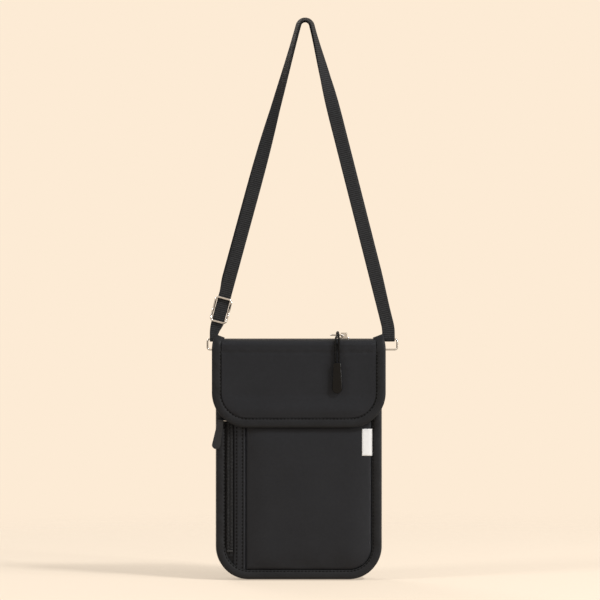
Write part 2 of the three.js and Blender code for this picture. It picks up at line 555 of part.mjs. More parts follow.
// Flap: panel with a rolled upper edge on the hinge line, edge tape, sewn fold and touch pads
function makeFlap() {
  const inset = FLAP_BINDING_WIDTH + CLEARANCE;
  const half = FLAP_WIDTH / 2 - inset;
  const rolled = FLAP_THICKNESS / 2;
  const outline = roundedBox(half, FLAP_BOTTOM + inset, FLAP_AXIS_Z + FLAP_THICKNESS,
    FLAP_CORNER - inset, CLEARANCE);
  const profile = new THREE.Shape();
  profile.moveTo(FLAP_FRONT, FLAP_BOTTOM);
  profile.lineTo(FLAP_BACK, FLAP_BOTTOM);
  profile.lineTo(FLAP_BACK, FLAP_AXIS_Z);
  profile.absarc(FLAP_Y, FLAP_AXIS_Z, rolled, 0, Math.PI);
  const blank = plate(outline, FLAP_FRONT - OVERLAP, FLAP_BACK + OVERLAP);
  piece('flap_panel', common(blank, bar(profile, -FLAP_WIDTH / 2, FLAP_WIDTH / 2)), FABRIC);
  const tape = edgeTape(FLAP_WIDTH / 2, FLAP_BOTTOM, FLAP_AXIS_Z - FLAP_BINDING_DROP,
    FLAP_CORNER, FLAP_BINDING_WIDTH);
  const tapeHalf = FLAP_BINDING_THICKNESS / 2;
  piece('flap_binding', plate(tape, FLAP_Y - tapeHalf, FLAP_Y + tapeHalf), TRIM);

  const seat = POCKET_BACK;
  const fold = new THREE.Shape();
  const lip = FOLD_BOTTOM + FOLD_LIP;
  fold.moveTo(FLAP_FRONT, lip);
  fold.absellipse(seat, lip, seat - FLAP_FRONT, FOLD_TOP - lip, Math.PI, Math.PI / 2, true);
  fold.lineTo(-FOLD_SEAM, FOLD_TOP);
  fold.lineTo(-FOLD_SEAM, FOLD_UNDERSIDE);
  fold.lineTo(seat, FOLD_UNDERSIDE);
  fold.absellipse(seat, FOLD_BOTTOM, seat - FLAP_BACK, FOLD_UNDERSIDE - FOLD_BOTTOM, Math.PI / 2, Math.PI);
  piece('flap_fold', bar(fold, -FOLD_WIDTH / 2, FOLD_WIDTH / 2), FABRIC);

  const padTop = TOUCH_PAD_BOTTOM + TOUCH_PAD_HEIGHT;
  const padHalf = TOUCH_PAD_WIDTH / 2;
  const hookFront = FLAP_BACK + CLEARANCE;
  const hookBack = hookFront + HOOK_PAD_THICKNESS;
  piece('flap_hook_pad', box(-padHalf, padHalf, hookFront, hookBack, TOUCH_PAD_BOTTOM, padTop), TRIM);
  piece('pocket_loop_pad', box(-padHalf, padHalf, hookBack + CLEARANCE, POCKET_FRONT - CLEARANCE,
    TOUCH_PAD_BOTTOM, padTop), TRIM);
}

function makeLabel() {
  const seam = HALF_WIDTH - BINDING_WIDTH - CLEARANCE;
  const back = POCKET_FRONT - CLEARANCE;
  piece('side_label', box(seam - LABEL_WIDTH, seam, back - LABEL_THICKNESS, back,
    LABEL_BOTTOM, LABEL_BOTTOM + LABEL_HEIGHT), WHITE);
}

// A wire ring at each upper corner, in a fabric tab sewn to the corner of the gusset
function makeRings() {
  const half = WEBBING_WIDTH / 2 + RING_CORNER;
  const hole = RING_WIRE / 2 + CLEARANCE;
  const ply = hole + RING_TAB_PLY;
  const tabTop = RING_TOP - FOLD_RADIUS - WEBBING_THICKNESS / 2 - CLEARANCE;
  for (const [name, side] of [['left', -1], ['right', 1]]) {
    const ring = piece(`${name}_ring`, wireLoop(half, RING_HEIGHT / 2, RING_CORNER, RING_WIRE,
      (x, z, lift) => new THREE.Vector3(x, -lift, z)), STEEL);
    ring.position.set(RING_X[name], 0, RING_TOP - RING_HEIGHT / 2);

    const eye = RING_X[name] - side * half;
    const turn = side > 0 ? -Math.PI / 2 : Math.PI / 2;
    const strip = new THREE.Shape();
    strip.moveTo(side * ZIP_HALF, -side * ply);
    strip.lineTo(eye, -side * ply);
    strip.absarc(eye, 0, ply, turn, turn + Math.PI);
    strip.lineTo(side * ZIP_HALF, side * ply);
    const bore = new THREE.Path();
    bore.absarc(eye, 0, hole, 0, 2 * Math.PI);
    strip.holes.push(bore);
    const corner = new THREE.CylinderGeometry(TOP_CORNER + CLEARANCE, TOP_CORNER + CLEARANCE,
      COMPARTMENT_DEPTH, 8 * ARC_SEGMENTS);
    corner.translate(side * ZIP_HALF, 0, BAG_HEIGHT - TOP_CORNER);
    piece(`${name}_ring_tab`, cut(slab(strip, tabTop - RING_TAB_HEIGHT, tabTop), corner), TRIM);
  }
}

// The strap's middle line in X and Z: up from the right ring, over the crown, down to the left ring
function strapLine() {
  const knee = RING_TOP + RUN_KNEE;
  const corners = [[RING_X.right, RING_TOP], [RING_X.right, knee], [CROWN_X, CROWN_PEAK],
    [RING_X.left, knee], [RING_X.left, RING_TOP]].map(([x, z]) => new THREE.Vector2(x, z));
  const radii = [0, RUN_BEND, CROWN_RADIUS, RUN_BEND, 0];
  const line = new THREE.Path([corners[0]]);
  for (let i = 1; i < corners.length - 1; i += 1) {
    const back = corners[i - 1].clone().sub(corners[i]).normalize();
    const ahead = corners[i + 1].clone().sub(corners[i]).normalize();
    const halfAngle = Math.acos(back.dot(ahead)) / 2;
    const reach = radii[i] / Math.tan(halfAngle);
    const start = corners[i].clone().addScaledVector(back, reach);
    const end = corners[i].clone().addScaledVector(ahead, reach);
    const inward = back.clone().add(ahead).normalize();
    const centre = corners[i].clone().addScaledVector(inward, radii[i] / Math.sin(halfAngle));
    const from = start.clone().sub(centre);
    const to = end.clone().sub(centre);
    line.lineTo(start.x, start.y);
    line.absarc(centre.x, centre.y, radii[i], from.angle(), to.angle(), back.cross(ahead) > 0);
  }
  line.lineTo(corners[4].x, corners[4].y);
  return line;
}

const smooth = (value, length) => THREE.MathUtils.smoothstep(value, 0, length);

// Strap: a front layer looped on both rings, a back layer that runs up to the adjuster, and the adjuster
function makeStrap() {
  const line = strapLine();
  const lengths = line.getCurveLengths();
  const total = line.getLength();
  const [crownStart, crownEnd] = [lengths[2], lengths[3]];
  const stops = [0];
  line.curves.forEach((curve, i) => {
    const start = i ? lengths[i - 1] : 0;
    const span = lengths[i] - start;
    const steps = Math.ceil(curve.isEllipseCurve ? span / curve.xRadius / BEND_STEP : span / RUN_STEP);
    for (let k = 1; k <= steps; k += 1) stops.push(start + (span * k) / steps);
  });
  const between = (low, high) => [low, ...stops.filter((s) => s > low + CLEARANCE && s < high - CLEARANCE), high];

  // A point of the front (side 1) or back (side -1) layer at a distance along the line
  const station = (s, side, direction) => {
    const at = line.getPoint(s / total);
    const tangent = line.getTangent(s / total);
    const travel = new THREE.Vector3(tangent.x, 0, tangent.y);
    const past = Math.max(crownStart - s, s - crownEnd, 0);
    const turn = (Math.PI / 2) * smooth(past, TWIST_LENGTH);
    const face = new THREE.Vector3(tangent.y * Math.cos(turn), -Math.sin(turn), -tangent.x * Math.cos(turn));
    const spread = 1 - smooth(Math.min(s, total - s), LAYER_SPREAD_LENGTH);
    const offset = LAYER_HALF_GAP + (FOLD_RADIUS - LAYER_HALF_GAP) * spread;
    const middle = new THREE.Vector3(at.x, 0, at.y).addScaledVector(face, side * offset);
    return { middle, travel: travel.multiplyScalar(direction), outward: face.multiplyScalar(side) };
  };
  // The turn round a ring's bar, from the front layer to the back layer
  const turnRound = (x) => {
    const stations = [];
    for (let i = 1; i < FOLD_STEPS; i += 1) {
      const angle = (Math.PI * i) / FOLD_STEPS;
      const outward = new THREE.Vector3(0, -Math.cos(angle), -Math.sin(angle));
      const middle = new THREE.Vector3(x, 0, RING_TOP).addScaledVector(outward, FOLD_RADIUS);
      stations.push({ middle, outward, travel: new THREE.Vector3(0, Math.sin(angle), -Math.cos(angle)) });
    }
    return stations;
  };
  const rightTurn = turnRound(RING_X.right).reverse();
  rightTurn.forEach((stop) => stop.travel.negate());
  piece('strap_webbing', webbing([
    ...between(0, SEWN_LEG).reverse().map((s) => station(s, -1, -1)),
    ...rightTurn,
    ...between(0, total).map((s) => station(s, 1, 1)),
    ...turnRound(RING_X.left),
    ...between(total - SEWN_LEG, total).reverse().map((s) => station(s, -1, -1)),
  ]), WEBBING);

  const adjusterAt = total - ADJUSTER_RISE;
  const foldTop = adjusterAt - ADJUSTER_FOLD - CLEARANCE;
  piece('strap_back_layer',
    webbing(between(SEWN_LEG + CLEARANCE, foldTop).map((s) => station(s, -1, 1)), true), WEBBING);
  makeAdjuster(line.getPoint(adjusterAt / total), line.getTangent(adjusterAt / total));
}

// Adjuster: a bowed wire frame with a middle bar behind the front layer, and the sewn end round that bar
function makeAdjuster(at, tangent) {
  const adjuster = new THREE.Group();
  adjuster.position.set(at.x, 0, at.y);
  adjuster.rotation.y = Math.atan2(-tangent.x, -tangent.y);
  bag.add(adjuster);

  const wireRadius = ADJUSTER_WIRE / 2;
  const wrap = wireRadius + CLEARANCE + WEBBING_THICKNESS / 2;
  const barY = LAYER_HALF_GAP + wrap;
  const half = WEBBING_WIDTH / 2 + ADJUSTER_SIDE_GAP + wireRadius;
  const halfHeight = ADJUSTER_HEIGHT / 2;
  const rail = halfHeight - ADJUSTER_CORNER;
  const bow = (z) => barY * (1 - 2 * Math.min(1, Math.abs(z) / rail) ** 2);
  const frame = wireLoop(half, halfHeight, ADJUSTER_CORNER, ADJUSTER_WIRE,
    (x, z, lift, middle) => new THREE.Vector3(x, bow(middle) - lift, z));
  piece('adjuster_frame', joined(frame, rodAlongX(-half, half, barY, 0, ADJUSTER_WIRE)), STEEL, adjuster);

  const sewnGap = WEBBING_THICKNESS + CLEARANCE;
  const ply = (y, z, direction, out) => ({
    middle: new THREE.Vector3(0, y, z),
    travel: new THREE.Vector3(0, 0, direction),
    outward: new THREE.Vector3(0, out, 0),
  });
  const turn = [];
  for (let i = 0; i <= FOLD_STEPS; i += 1) {
    const angle = (Math.PI * i) / FOLD_STEPS;
    const outward = new THREE.Vector3(0, -Math.cos(angle), -Math.sin(angle));
    const middle = new THREE.Vector3(0, barY, 0).addScaledVector(outward, wrap);
    turn.push({ middle, outward, travel: new THREE.Vector3(0, Math.sin(angle), -Math.cos(angle)) });
  }
  piece('adjuster_fold', webbing([
    ply(LAYER_HALF_GAP, ADJUSTER_FOLD, -1, -1),
    ...turn,
    ply(LAYER_HALF_GAP + sewnGap, ADJUSTER_FOLD / 2, 1, 1),
    ply(LAYER_HALF_GAP + sewnGap, ADJUSTER_FOLD, 1, 1),
  ]), WEBBING, adjuster);
}

makeCompartment();
makeFrontPocket();
makePocketPull();
makeTopZip();
makeTopPull();
makeFlap();
makeLabel();
makeRings();
makeStrap();

export default bag;
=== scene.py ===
"""A flat black crossbody pouch: fabric, edge tape, zips, flap, rings, strap and studio."""
import math

import bmesh
import bpy
from mathutils import Matrix, Vector


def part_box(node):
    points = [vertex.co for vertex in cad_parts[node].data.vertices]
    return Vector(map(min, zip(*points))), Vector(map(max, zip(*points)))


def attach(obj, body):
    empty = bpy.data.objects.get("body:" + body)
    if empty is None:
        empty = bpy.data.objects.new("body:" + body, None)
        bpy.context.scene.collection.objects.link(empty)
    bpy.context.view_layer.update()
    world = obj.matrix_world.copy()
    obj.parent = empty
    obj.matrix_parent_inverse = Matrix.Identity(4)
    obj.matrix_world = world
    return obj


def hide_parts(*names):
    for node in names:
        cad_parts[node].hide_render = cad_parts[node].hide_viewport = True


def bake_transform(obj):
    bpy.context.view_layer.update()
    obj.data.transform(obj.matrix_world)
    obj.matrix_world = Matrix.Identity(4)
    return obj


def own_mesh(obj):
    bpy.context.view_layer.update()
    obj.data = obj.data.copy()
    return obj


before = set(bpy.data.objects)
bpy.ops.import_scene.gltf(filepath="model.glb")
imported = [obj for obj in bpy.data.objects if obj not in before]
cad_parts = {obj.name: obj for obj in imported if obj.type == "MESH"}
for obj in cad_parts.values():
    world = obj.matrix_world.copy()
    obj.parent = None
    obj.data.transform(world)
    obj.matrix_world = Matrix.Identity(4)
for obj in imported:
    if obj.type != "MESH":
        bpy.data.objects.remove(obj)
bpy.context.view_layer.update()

bl_info = {
    "name": "Crossbody Pouch",
    "version": (1, 0, 0),
    "blender": (4, 5, 0),
    "location": "View3D > Sidebar > Pouch",
    "description": "Makes the fabric, trim, zips and strap of a flat crossbody pouch",
    "category": "Object",
}

MM = 0.001
TAU = 2 * math.pi
SHARP_EDGE = 70.0
FRONT = Vector((0, -1, 0))
BACKWARD = Vector((0, 1, 0))
RIGHTWARD = Vector((1, 0, 0))
UPWARD = Vector((0, 0, 1))


def low(node):
    return Vector(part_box(node)[0])


def high(node):
    return Vector(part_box(node)[1])


class PouchSizes(bpy.types.PropertyGroup):
    """Sizes of the sewn and padded details"""
    panel_puff: bpy.props.FloatProperty(
        name="Pocket Puff", description="How far the pocket panel swells", default=3.4 * MM,
        unit="LENGTH")
    flap_puff: bpy.props.FloatProperty(
        name="Flap Puff", description="How far the flap swells between its tapes", default=1.9 * MM,
        unit="LENGTH")
    back_puff: bpy.props.FloatProperty(
        name="Back Puff", description="How far the back panel swells", default=1.8 * MM, unit="LENGTH")
    stitch_pitch: bpy.props.FloatProperty(
        name="Stitch Pitch", description="Distance from stitch to stitch", default=2.6 * MM,
        unit="LENGTH")
    stitch_length: bpy.props.FloatProperty(
        name="Stitch Length", description="Length of one stitch", default=1.6 * MM, unit="LENGTH")
    thread: bpy.props.FloatProperty(
        name="Thread", description="Thickness of the sewing thread", default=0.9 * MM, unit="LENGTH")
    coil_pitch: bpy.props.FloatProperty(
        name="Coil Pitch", description="Distance from tooth to tooth of a zip", default=1.05 * MM,
        unit="LENGTH")
    rib_pitch: bpy.props.FloatProperty(
        name="Rib Pitch", description="Distance from rib to rib of the webbing", default=1.5 * MM,
        unit="LENGTH")


class PouchColours(bpy.types.PropertyGroup):
    """Colours of the finishes"""
    fabric: bpy.props.FloatVectorProperty(
        name="Fabric", description="Nylon of the body and the flap", subtype="COLOR",
        default=(0.0195, 0.0204, 0.0232))
    tape: bpy.props.FloatVectorProperty(
        name="Edge Tape", description="Tape round the edges", subtype="COLOR",
        default=(0.0176, 0.0179, 0.0192))
    webbing: bpy.props.FloatVectorProperty(
        name="Webbing", description="Strap webbing", subtype="COLOR", default=(0.0215, 0.0217, 0.0226))
    thread: bpy.props.FloatVectorProperty(
        name="Thread", description="Sewing thread", subtype="COLOR", default=(0.0014, 0.0014, 0.0015))
    metal: bpy.props.FloatVectorProperty(
        name="Metal", description="Rings, adjuster and sliders", subtype="COLOR",
        default=(0.52, 0.50, 0.48))
    label: bpy.props.FloatVectorProperty(
        name="Label", description="Bare woven side label", subtype="COLOR", default=(0.72, 0.715, 0.71))
    backdrop: bpy.props.FloatVectorProperty(
        name="Backdrop", description="Floor and background", subtype="COLOR", default=(0.982, 0.831, 0.665))


class Wire:
    """A socket in a material, with the arithmetic that the finishes use"""

    def __init__(self, tree, socket):
        self.tree = tree
        self.socket = socket

    def math(self, operation, *others):
        node = self.tree.nodes.new("ShaderNodeMath")
        node.operation = operation
        for slot, value in zip(node.inputs, (self, *others)):
            if isinstance(value, Wire):
                self.tree.links.new(value.socket, slot)
            else:
                slot.default_value = value
        return Wire(self.tree, node.outputs[0])

    def __add__(self, other):
        return self.math("ADD", other)

    __radd__ = __add__

    def __sub__(self, other):
        return self.math("SUBTRACT", other)

    def __rsub__(self, other):
        return self.math("MULTIPLY", -1.0).math("ADD", other)

    def __mul__(self, other):
        return self.math("MULTIPLY", other)

    __rmul__ = __mul__

    def sin(self):
        return self.math("SINE")

class Finish:
    """A material built round one Principled shader"""

    def __init__(self, name):
        self.material = bpy.data.materials.new(name)
        self.material.use_nodes = True
        self.tree = self.material.node_tree
        self.shader = self.tree.nodes["Principled BSDF"]

    def node(self, kind, settings=None, inputs=None, output=0):
        node = self.tree.nodes.new(kind)
        for key, value in (settings or {}).items():
            setattr(node, key, value)
        for key, value in (inputs or {}).items():
            self.feed(node.inputs[key], value)
        return Wire(self.tree, node.outputs[output])

    def feed(self, socket, value):
        if isinstance(value, Wire):
            self.tree.links.new(value.socket, socket)
        else:
            socket.default_value = value

    def set(self, **sockets):
        for key, value in sockets.items():
            self.feed(self.shader.inputs[key.replace("_", " ")], value)

    def place(self):
        return self.node("ShaderNodeTexCoord", output="Object")

    def lay(self):
        return self.node("ShaderNodeUVMap", {"uv_map": "lay"})

    def axes(self, vector):
        split = self.tree.nodes.new("ShaderNodeSeparateXYZ")
        self.tree.links.new(vector.socket, split.inputs[0])
        return [Wire(self.tree, slot) for slot in split.outputs]

    def noise(self, vector, scale, detail=3.0, roughness=0.55):
        return self.node("ShaderNodeTexNoise", {},
                         {"Vector": vector, "Scale": scale, "Detail": detail, "Roughness": roughness}, "Fac")

    def blend(self, factor, first, second):
        node = self.tree.nodes.new("ShaderNodeMix")
        node.data_type = "RGBA"
        self.feed(node.inputs[0], factor)
        self.feed(node.inputs[6], first)
        self.feed(node.inputs[7], second)
        return Wire(self.tree, node.outputs[2])

    def mixed(self, factor, first, second):
        node = self.tree.nodes.new("ShaderNodeMixShader")
        self.feed(node.inputs[0], factor)
        self.tree.links.new(first.outputs[0], node.inputs[1])
        self.tree.links.new(second.outputs[0], node.inputs[2])
        return node

    def bump(self, height, strength, distance, under=None):
        inputs = {"Height": height, "Strength": strength, "Distance": distance}
        if under:
            inputs["Normal"] = under
        return self.node("ShaderNodeBump", {}, inputs)


def shade(colour, factor):
    return (colour[0] * factor, colour[1] * factor, colour[2] * factor, 1.0)


def colours():
    return bpy.context.scene.pouch_colours


def sizes():
    return bpy.context.scene.pouch_sizes


def nylon_finish(name, colour, roughness, pitch):
    """Satin woven nylon: a fine two-way weave, soft mottling and faint creases"""
    finish = Finish(name)
    place = finish.place()
    x, y, z = finish.axes(place)
    warp = ((x + y) * (TAU / pitch)).sin()
    weft = (z * (TAU / pitch)).sin()
    weave = warp * weft
    mottle = finish.noise(place, 38.0)
    slub = finish.noise(place, 420.0, 2.0)
    tone = mottle * 0.55 + slub * 0.45
    finish.set(Base_Color=finish.blend(tone, shade(colour, 0.80), shade(colour, 1.22)),
               Roughness=weave * 0.04 + mottle * 0.16 + (roughness - 0.08),
               Specular_IOR_Level=0.08)
    creases = finish.bump(finish.noise(place, 30.0, 2.0), 0.10, 0.004)
    finish.set(Normal=finish.bump(weave * 0.5 + slub * 0.6, 0.35, 0.00012, creases))
    return finish.material


def tape_finish(name, colour, pitch):
    """Folded woven tape: ribs across its length, darker in the grooves, a little lint"""
    finish = Finish(name)
    place = finish.place()
    along, _, _ = finish.axes(finish.lay())
    rib = (along * (TAU / pitch)).sin()
    fleck = finish.noise(place, 520.0, 2.0)
    worn = finish.noise(place, 55.0)
    finish.set(Base_Color=finish.blend(worn * 0.6 + fleck * 0.4, shade(colour, 0.70), shade(colour, 1.45)),
               Roughness=worn * 0.2 + 0.34, Specular_IOR_Level=0.06)
    puckers = finish.bump(finish.noise(place, 95.0, 2.0), 0.22, 0.0016)
    finish.set(Normal=finish.bump(rib * 0.3 + fleck * 0.7, 0.22, 0.0001, puckers))
    return finish.material


def webbing_finish(name, colour, pitch):
    """Ribbed webbing: twilled yarns along the ribs, its colour darker between them and lighter on their
    crests, painted shade and painted highlight
    """
    finish = Finish(name)
    along, across, _ = finish.axes(finish.lay())
    rib = (along * (TAU / pitch)).sin()
    yarn = (across * (TAU / (0.7 * MM)) + along * (TAU / (2 * pitch))).sin()
    dust = finish.noise(finish.place(), 600.0, 2.0)
    # rib and yarn set the colour as they set the bump: painted shade in the weave's hollows, painted
    # highlight on its crests; dust is random lint
    tone = rib * 0.30 + yarn * 0.22 + dust * 0.45 + 0.26
    finish.set(Base_Color=finish.blend(tone, shade(colour, 0.25), shade(colour, 2.2)),
               Roughness=dust * 0.18 + 0.55, Specular_IOR_Level=0.07)
    finish.set(Normal=finish.bump(rib * 0.4 + yarn * 0.5 + dust * 0.3, 0.45, 0.00018))
    return finish.material


def thread_finish(name, colour):
    """Twisted sewing thread, its colour lighter on the crests of the twist and darker in its grooves,
    painted highlight and painted shade
    """
    finish = Finish(name)
    x, y, z = finish.axes(finish.place())
    twist = ((x + z + y * 0.6) * (TAU / (0.5 * MM))).sin()
    # twist sets the colour as it sets the bump: painted highlight on the crests, painted shade in the
    # grooves
    finish.set(Base_Color=finish.blend(twist * 0.5 + 0.5, shade(colour, 0.6), shade(colour, 1.6)),
               Roughness=twist * 0.05 + 0.5, Specular_IOR_Level=0.1)
    finish.set(Normal=finish.bump(twist, 0.4, 0.00008))
    return finish.material


def metal_finish(name, colour):
    """Polished plate with faint handling marks"""
    finish = Finish(name)
    place = finish.place()
    haze = finish.noise(place, 160.0)
    marks = finish.noise(place, 1500.0, 2.0)
    finish.set(Base_Color=finish.blend(haze, shade(colour, 0.86), shade(colour, 1.05)),
               Roughness=haze * 0.12 + marks * 0.06 + 0.08)
    finish.shader.inputs["Metallic"].default_value = 1.0
    finish.set(Normal=finish.bump(marks, 0.05, 0.00005))
    return finish.material


def moulded_finish(name, colour, roughness, grain):
    """Moulded or leathery pull: fine grain and uneven gloss"""
    finish = Finish(name)
    place = finish.place()
    pores = finish.node("ShaderNodeTexVoronoi", {"feature": "DISTANCE_TO_EDGE"},
                        {"Vector": place, "Scale": grain}, "Distance")
    rub = finish.noise(place, 180.0)
    finish.set(Base_Color=finish.blend(rub, shade(colour, 0.75), shade(colour, 1.5)),
               Roughness=rub * 0.22 + (roughness - 0.1), Specular_IOR_Level=0.18)
    finish.set(Normal=finish.bump(pores, 0.25, 0.00012))
    return finish.material


def label_finish(name, colour):
    """Bare woven satin label"""
    finish = Finish(name)
    place = finish.place()
    x, _, z = finish.axes(place)
    weft = (z * (TAU / (0.42 * MM))).sin()
    warp = (x * (TAU / (0.9 * MM)) + z * (TAU / (0.84 * MM))).sin()
    soil = finish.noise(place, 120.0)
    # soil is random soiling; the small weft term lightens the raised weft threads and darkens between them,
    # painted highlight and painted shade
    finish.set(Base_Color=finish.blend(soil * 0.7 + weft * 0.12, shade(colour, 0.90), shade(colour, 1.04)),
               Roughness=soil * 0.15 + 0.5)
    finish.set(Normal=finish.bump(weft * 0.6 + warp * 0.4, 0.35, 0.0001))
    return finish.material


FINISHES = {}


def finish(name):
    """The material of that name, made when it is first asked for"""
    if name not in FINISHES:
        c = colours()
        makers = {
            "fabric": lambda: nylon_finish("satin_nylon", c.fabric, 0.33, 0.5 * MM),
            "lining": lambda: nylon_finish("plain_lining", c.fabric, 0.62, 0.7 * MM),
            "tape_flat": lambda: nylon_finish("flat_tape_weave", c.tape, 0.66, 0.9 * MM),
            "tape": lambda: tape_finish("edge_tape_weave", c.tape, 0.8 * MM),
            "webbing": lambda: webbing_finish("ribbed_webbing", c.webbing, sizes().rib_pitch),
            "thread": lambda: thread_finish("sewing_thread", c.thread),
            "metal": lambda: metal_finish("polished_plate", c.metal),
            "coil": lambda: moulded_finish("coil_nylon", shade(c.webbing, 1.2), 0.42, 900.0),
            "grip": lambda: moulded_finish("glossy_grip", c.thread, 0.24, 1400.0),
            "tab": lambda: moulded_finish("smooth_leather", c.tape, 0.50, 1700.0),
            "label": lambda: label_finish("woven_label", c.label),
        }
        FINISHES[name] = makers[name]()
    return FINISHES[name]


def new_object(name, mesh, material):
    mesh.materials.append(material)
    obj = bpy.data.objects.new(name, mesh)
    bpy.context.scene.collection.objects.link(obj)
    return obj


def make_piece(name, points, faces, material, lays=None, sharp=40.0):
    """A closed smooth mesh; lays holds one UV pair for each corner of each face"""
    mesh = bpy.data.meshes.new(name)
    mesh.from_pydata(points, [], faces)
    if lays:
        layer = mesh.uv_layers.new(name="lay")
        flat = [uv for face in lays for uv in face]
        for corner, uv in zip(layer.data, flat):
            corner.uv = uv
    work = bmesh.new()
    work.from_mesh(mesh)
    bmesh.ops.recalc_face_normals(work, faces=work.faces)
    work.to_mesh(mesh)
    work.free()
    mesh.shade_smooth()
    mesh.set_sharp_from_angle(angle=math.radians(sharp))
    return new_object(name, mesh, material)


def settle(obj, body, slot, *nodes, padded=None):
    """Ties a finished piece to its body and hides the CAD nodes it stands for; slot, its finish in the
    record, is not used
    """
    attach(obj, body)
    if nodes:
        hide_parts(*nodes)
    return obj


def sweep(stations, section, closed=False):
    """Carries a closed section of (a, b) along stations of (origin, a axis, b axis, distance);
    a section that changes is a function of the station's number"""
    sections = section if callable(section) else (lambda i: section)
    first = sections(0)
    count = len(first)
    girth = [0.0]
    for j in range(count):
        girth.append(girth[-1] + math.dist(first[j], first[(j + 1) % count]))
    points = [tuple(origin + a_axis * a + b_axis * b)
              for i, (origin, a_axis, b_axis, _) in enumerate(stations) for a, b in sections(i)]
    faces = []
    lays = []
    spans = len(stations) if closed else len(stations) - 1
    for i in range(spans):
        k = (i + 1) % len(stations)
        u0 = stations[i][3]
        u1 = stations[k][3] if k else u0 + (stations[i][0] - stations[k][0]).length
        for j in range(count):
            n = (j + 1) % count
            faces.append((i * count + j, i * count + n, k * count + n, k * count + j))
            lays.append(((u0, girth[j]), (u0, girth[j + 1]), (u1, girth[j + 1]), (u1, girth[j])))
    if not closed:
        last = (len(stations) - 1) * count
        for base in (0, last):
            faces.append(tuple(base + j for j in range(count)))
            lays.append(tuple((stations[0 if base == 0 else -1][3], girth[j]) for j in range(count)))
    return points, faces, lays


def round_section(radius, sides):
    return [(radius * math.cos(TAU * i / sides), radius * math.sin(TAU * i / sides)) for i in range(sides)]


def edge_line(half, bottom, top, radius, step=1.5 * MM, arc_steps=26):
    """Points and inward directions down the left side, round the bottom and up the right side"""
    line = []

    def straight(start, end, inward):
        count = max(1, round(math.dist(start, end) / step))
        for i in range(count):
            t = i / count
            line.append((start[0] + (end[0] - start[0]) * t, start[1] + (end[1] - start[1]) * t, inward))

    def corner(cx, cz, first):
        for i in range(arc_steps):
            angle = first + (math.pi / 2) * i / arc_steps
            out = (math.cos(angle), math.sin(angle))
            line.append((cx + radius * out[0], cz + radius * out[1], (-out[0], -out[1])))

    straight((-half, top), (-half, bottom + radius), (1, 0))
    corner(radius - half, bottom + radius, math.pi)
    straight((radius - half, bottom), (half - radius, bottom), (0, 1))
    corner(half - radius, bottom + radius, 1.5 * math.pi)
    straight((half, bottom + radius), (half, top), (-1, 0))
    line.append((half, top, (-1, 0)))
    return line


def stations_on(line):
    """Stations along a line for a section in (inward, backward)"""
    stations = []
    distance = 0.0
    previous = None
    for x, z, (nx, nz) in line:
        origin = Vector((x, 0, z))
        if previous is not None:
            distance += (origin - previous).length
        previous = origin
        stations.append((origin, Vector((nx, 0, nz)), BACKWARD, distance))
    return stations


def row_reach(half, bottom, top, low_radius, high_radius, z):
    """Half-width of a rounded outline at a height"""
    drop = 0.0
    if z < bottom + low_radius:
        drop = low_radius - math.sqrt(max(0.0, low_radius ** 2 - (bottom + low_radius - z) ** 2))
    if z > top - high_radius:
        drop = high_radius - math.sqrt(max(0.0, high_radius ** 2 - (z - top + high_radius) ** 2))
    return half - drop


def swell(distance, width):
    t = min(1.0, max(0.0, distance / width))
    return 1.0 - (1.0 - t) ** 2.4


def shell_faces(rows, columns):
    """Faces of a front grid of points, a back grid and the rim between them"""
    width = columns + 1
    layer = width * rows
    faces = []
    for r in range(rows - 1):
        for i in range(columns):
            a = r * width + i
            faces.append((a, a + 1, a + width + 1, a + width))
            faces.append((layer + a, layer + a + width, layer + a + width + 1, layer + a + 1))
    last = (rows - 1) * width
    rim = list(range(columns)) + [r * width + columns for r in range(rows - 1)]
    rim += [last + i for i in range(columns, 0, -1)] + [r * width for r in range(rows - 1, 0, -1)]
    for a, b in zip(rim, rim[1:] + rim[:1]):
        faces.append((a, layer + a, layer + b, b))
    return faces


def eased_way(t):
    """A way from 0 to 1 with shorter steps near both ends"""
    turn = math.cos(math.pi * t)
    return 0.5 - 0.5 * turn * (0.55 + 0.45 * abs(turn))


def cushion(name, rows, surface, back, columns, material):
    """A panel between the left and right ends of its rows, with a shaped front and a flat back"""
    points = []
    for side in (0, 1):
        for left, right, z in rows:
            for i in range(columns + 1):
                x = left + (right - left) * eased_way(i / columns)
                points.append((x, surface(x, z) if side == 0 else back, z))
    return make_piece(name, points, shell_faces(len(rows), columns), material, sharp=SHARP_EDGE)


def rows_between(low_z, high_z, count, left, right):
    rows = []
    for i in range(count + 1):
        t = i / count
        z = low_z + (high_z - low_z) * (0.5 - 0.5 * math.cos(math.pi * t))
        rows.append((left(z), right(z), z))
    return rows


def softened(name, node, material, width, segments=3):
    """A copy of a CAD node with its edges rounded"""
    mesh = bpy.data.objects[node].data.copy()
    mesh.name = name
    mesh.materials.clear()
    work = bmesh.new()
    work.from_mesh(mesh)
    bmesh.ops.remove_doubles(work, verts=work.verts, dist=1e-6)
    bmesh.ops.dissolve_limit(work, angle_limit=math.radians(2), verts=work.verts, edges=work.edges)
    keen = [e for e in work.edges if e.is_manifold and e.calc_face_angle(0.0) > math.radians(30)]
    bmesh.ops.bevel(work, geom=keen, offset=width, segments=segments, profile=0.5, affect="EDGES",
                    clamp_overlap=True)
    bmesh.ops.triangulate(work, faces=[f for f in work.faces if len(f.verts) > 4])
    work.to_mesh(mesh)
    work.free()
    mesh.shade_smooth()
    mesh.set_sharp_from_angle(angle=math.radians(35))
    return new_object(name, mesh, material)


def ripple(x, z, *waves):
    """A sum of fixed sine waves: each is (size, x period, z period, phase)"""
    return sum(size * math.sin(TAU * (x / px + z / pz) + phase) for size, px, pz, phase in waves)


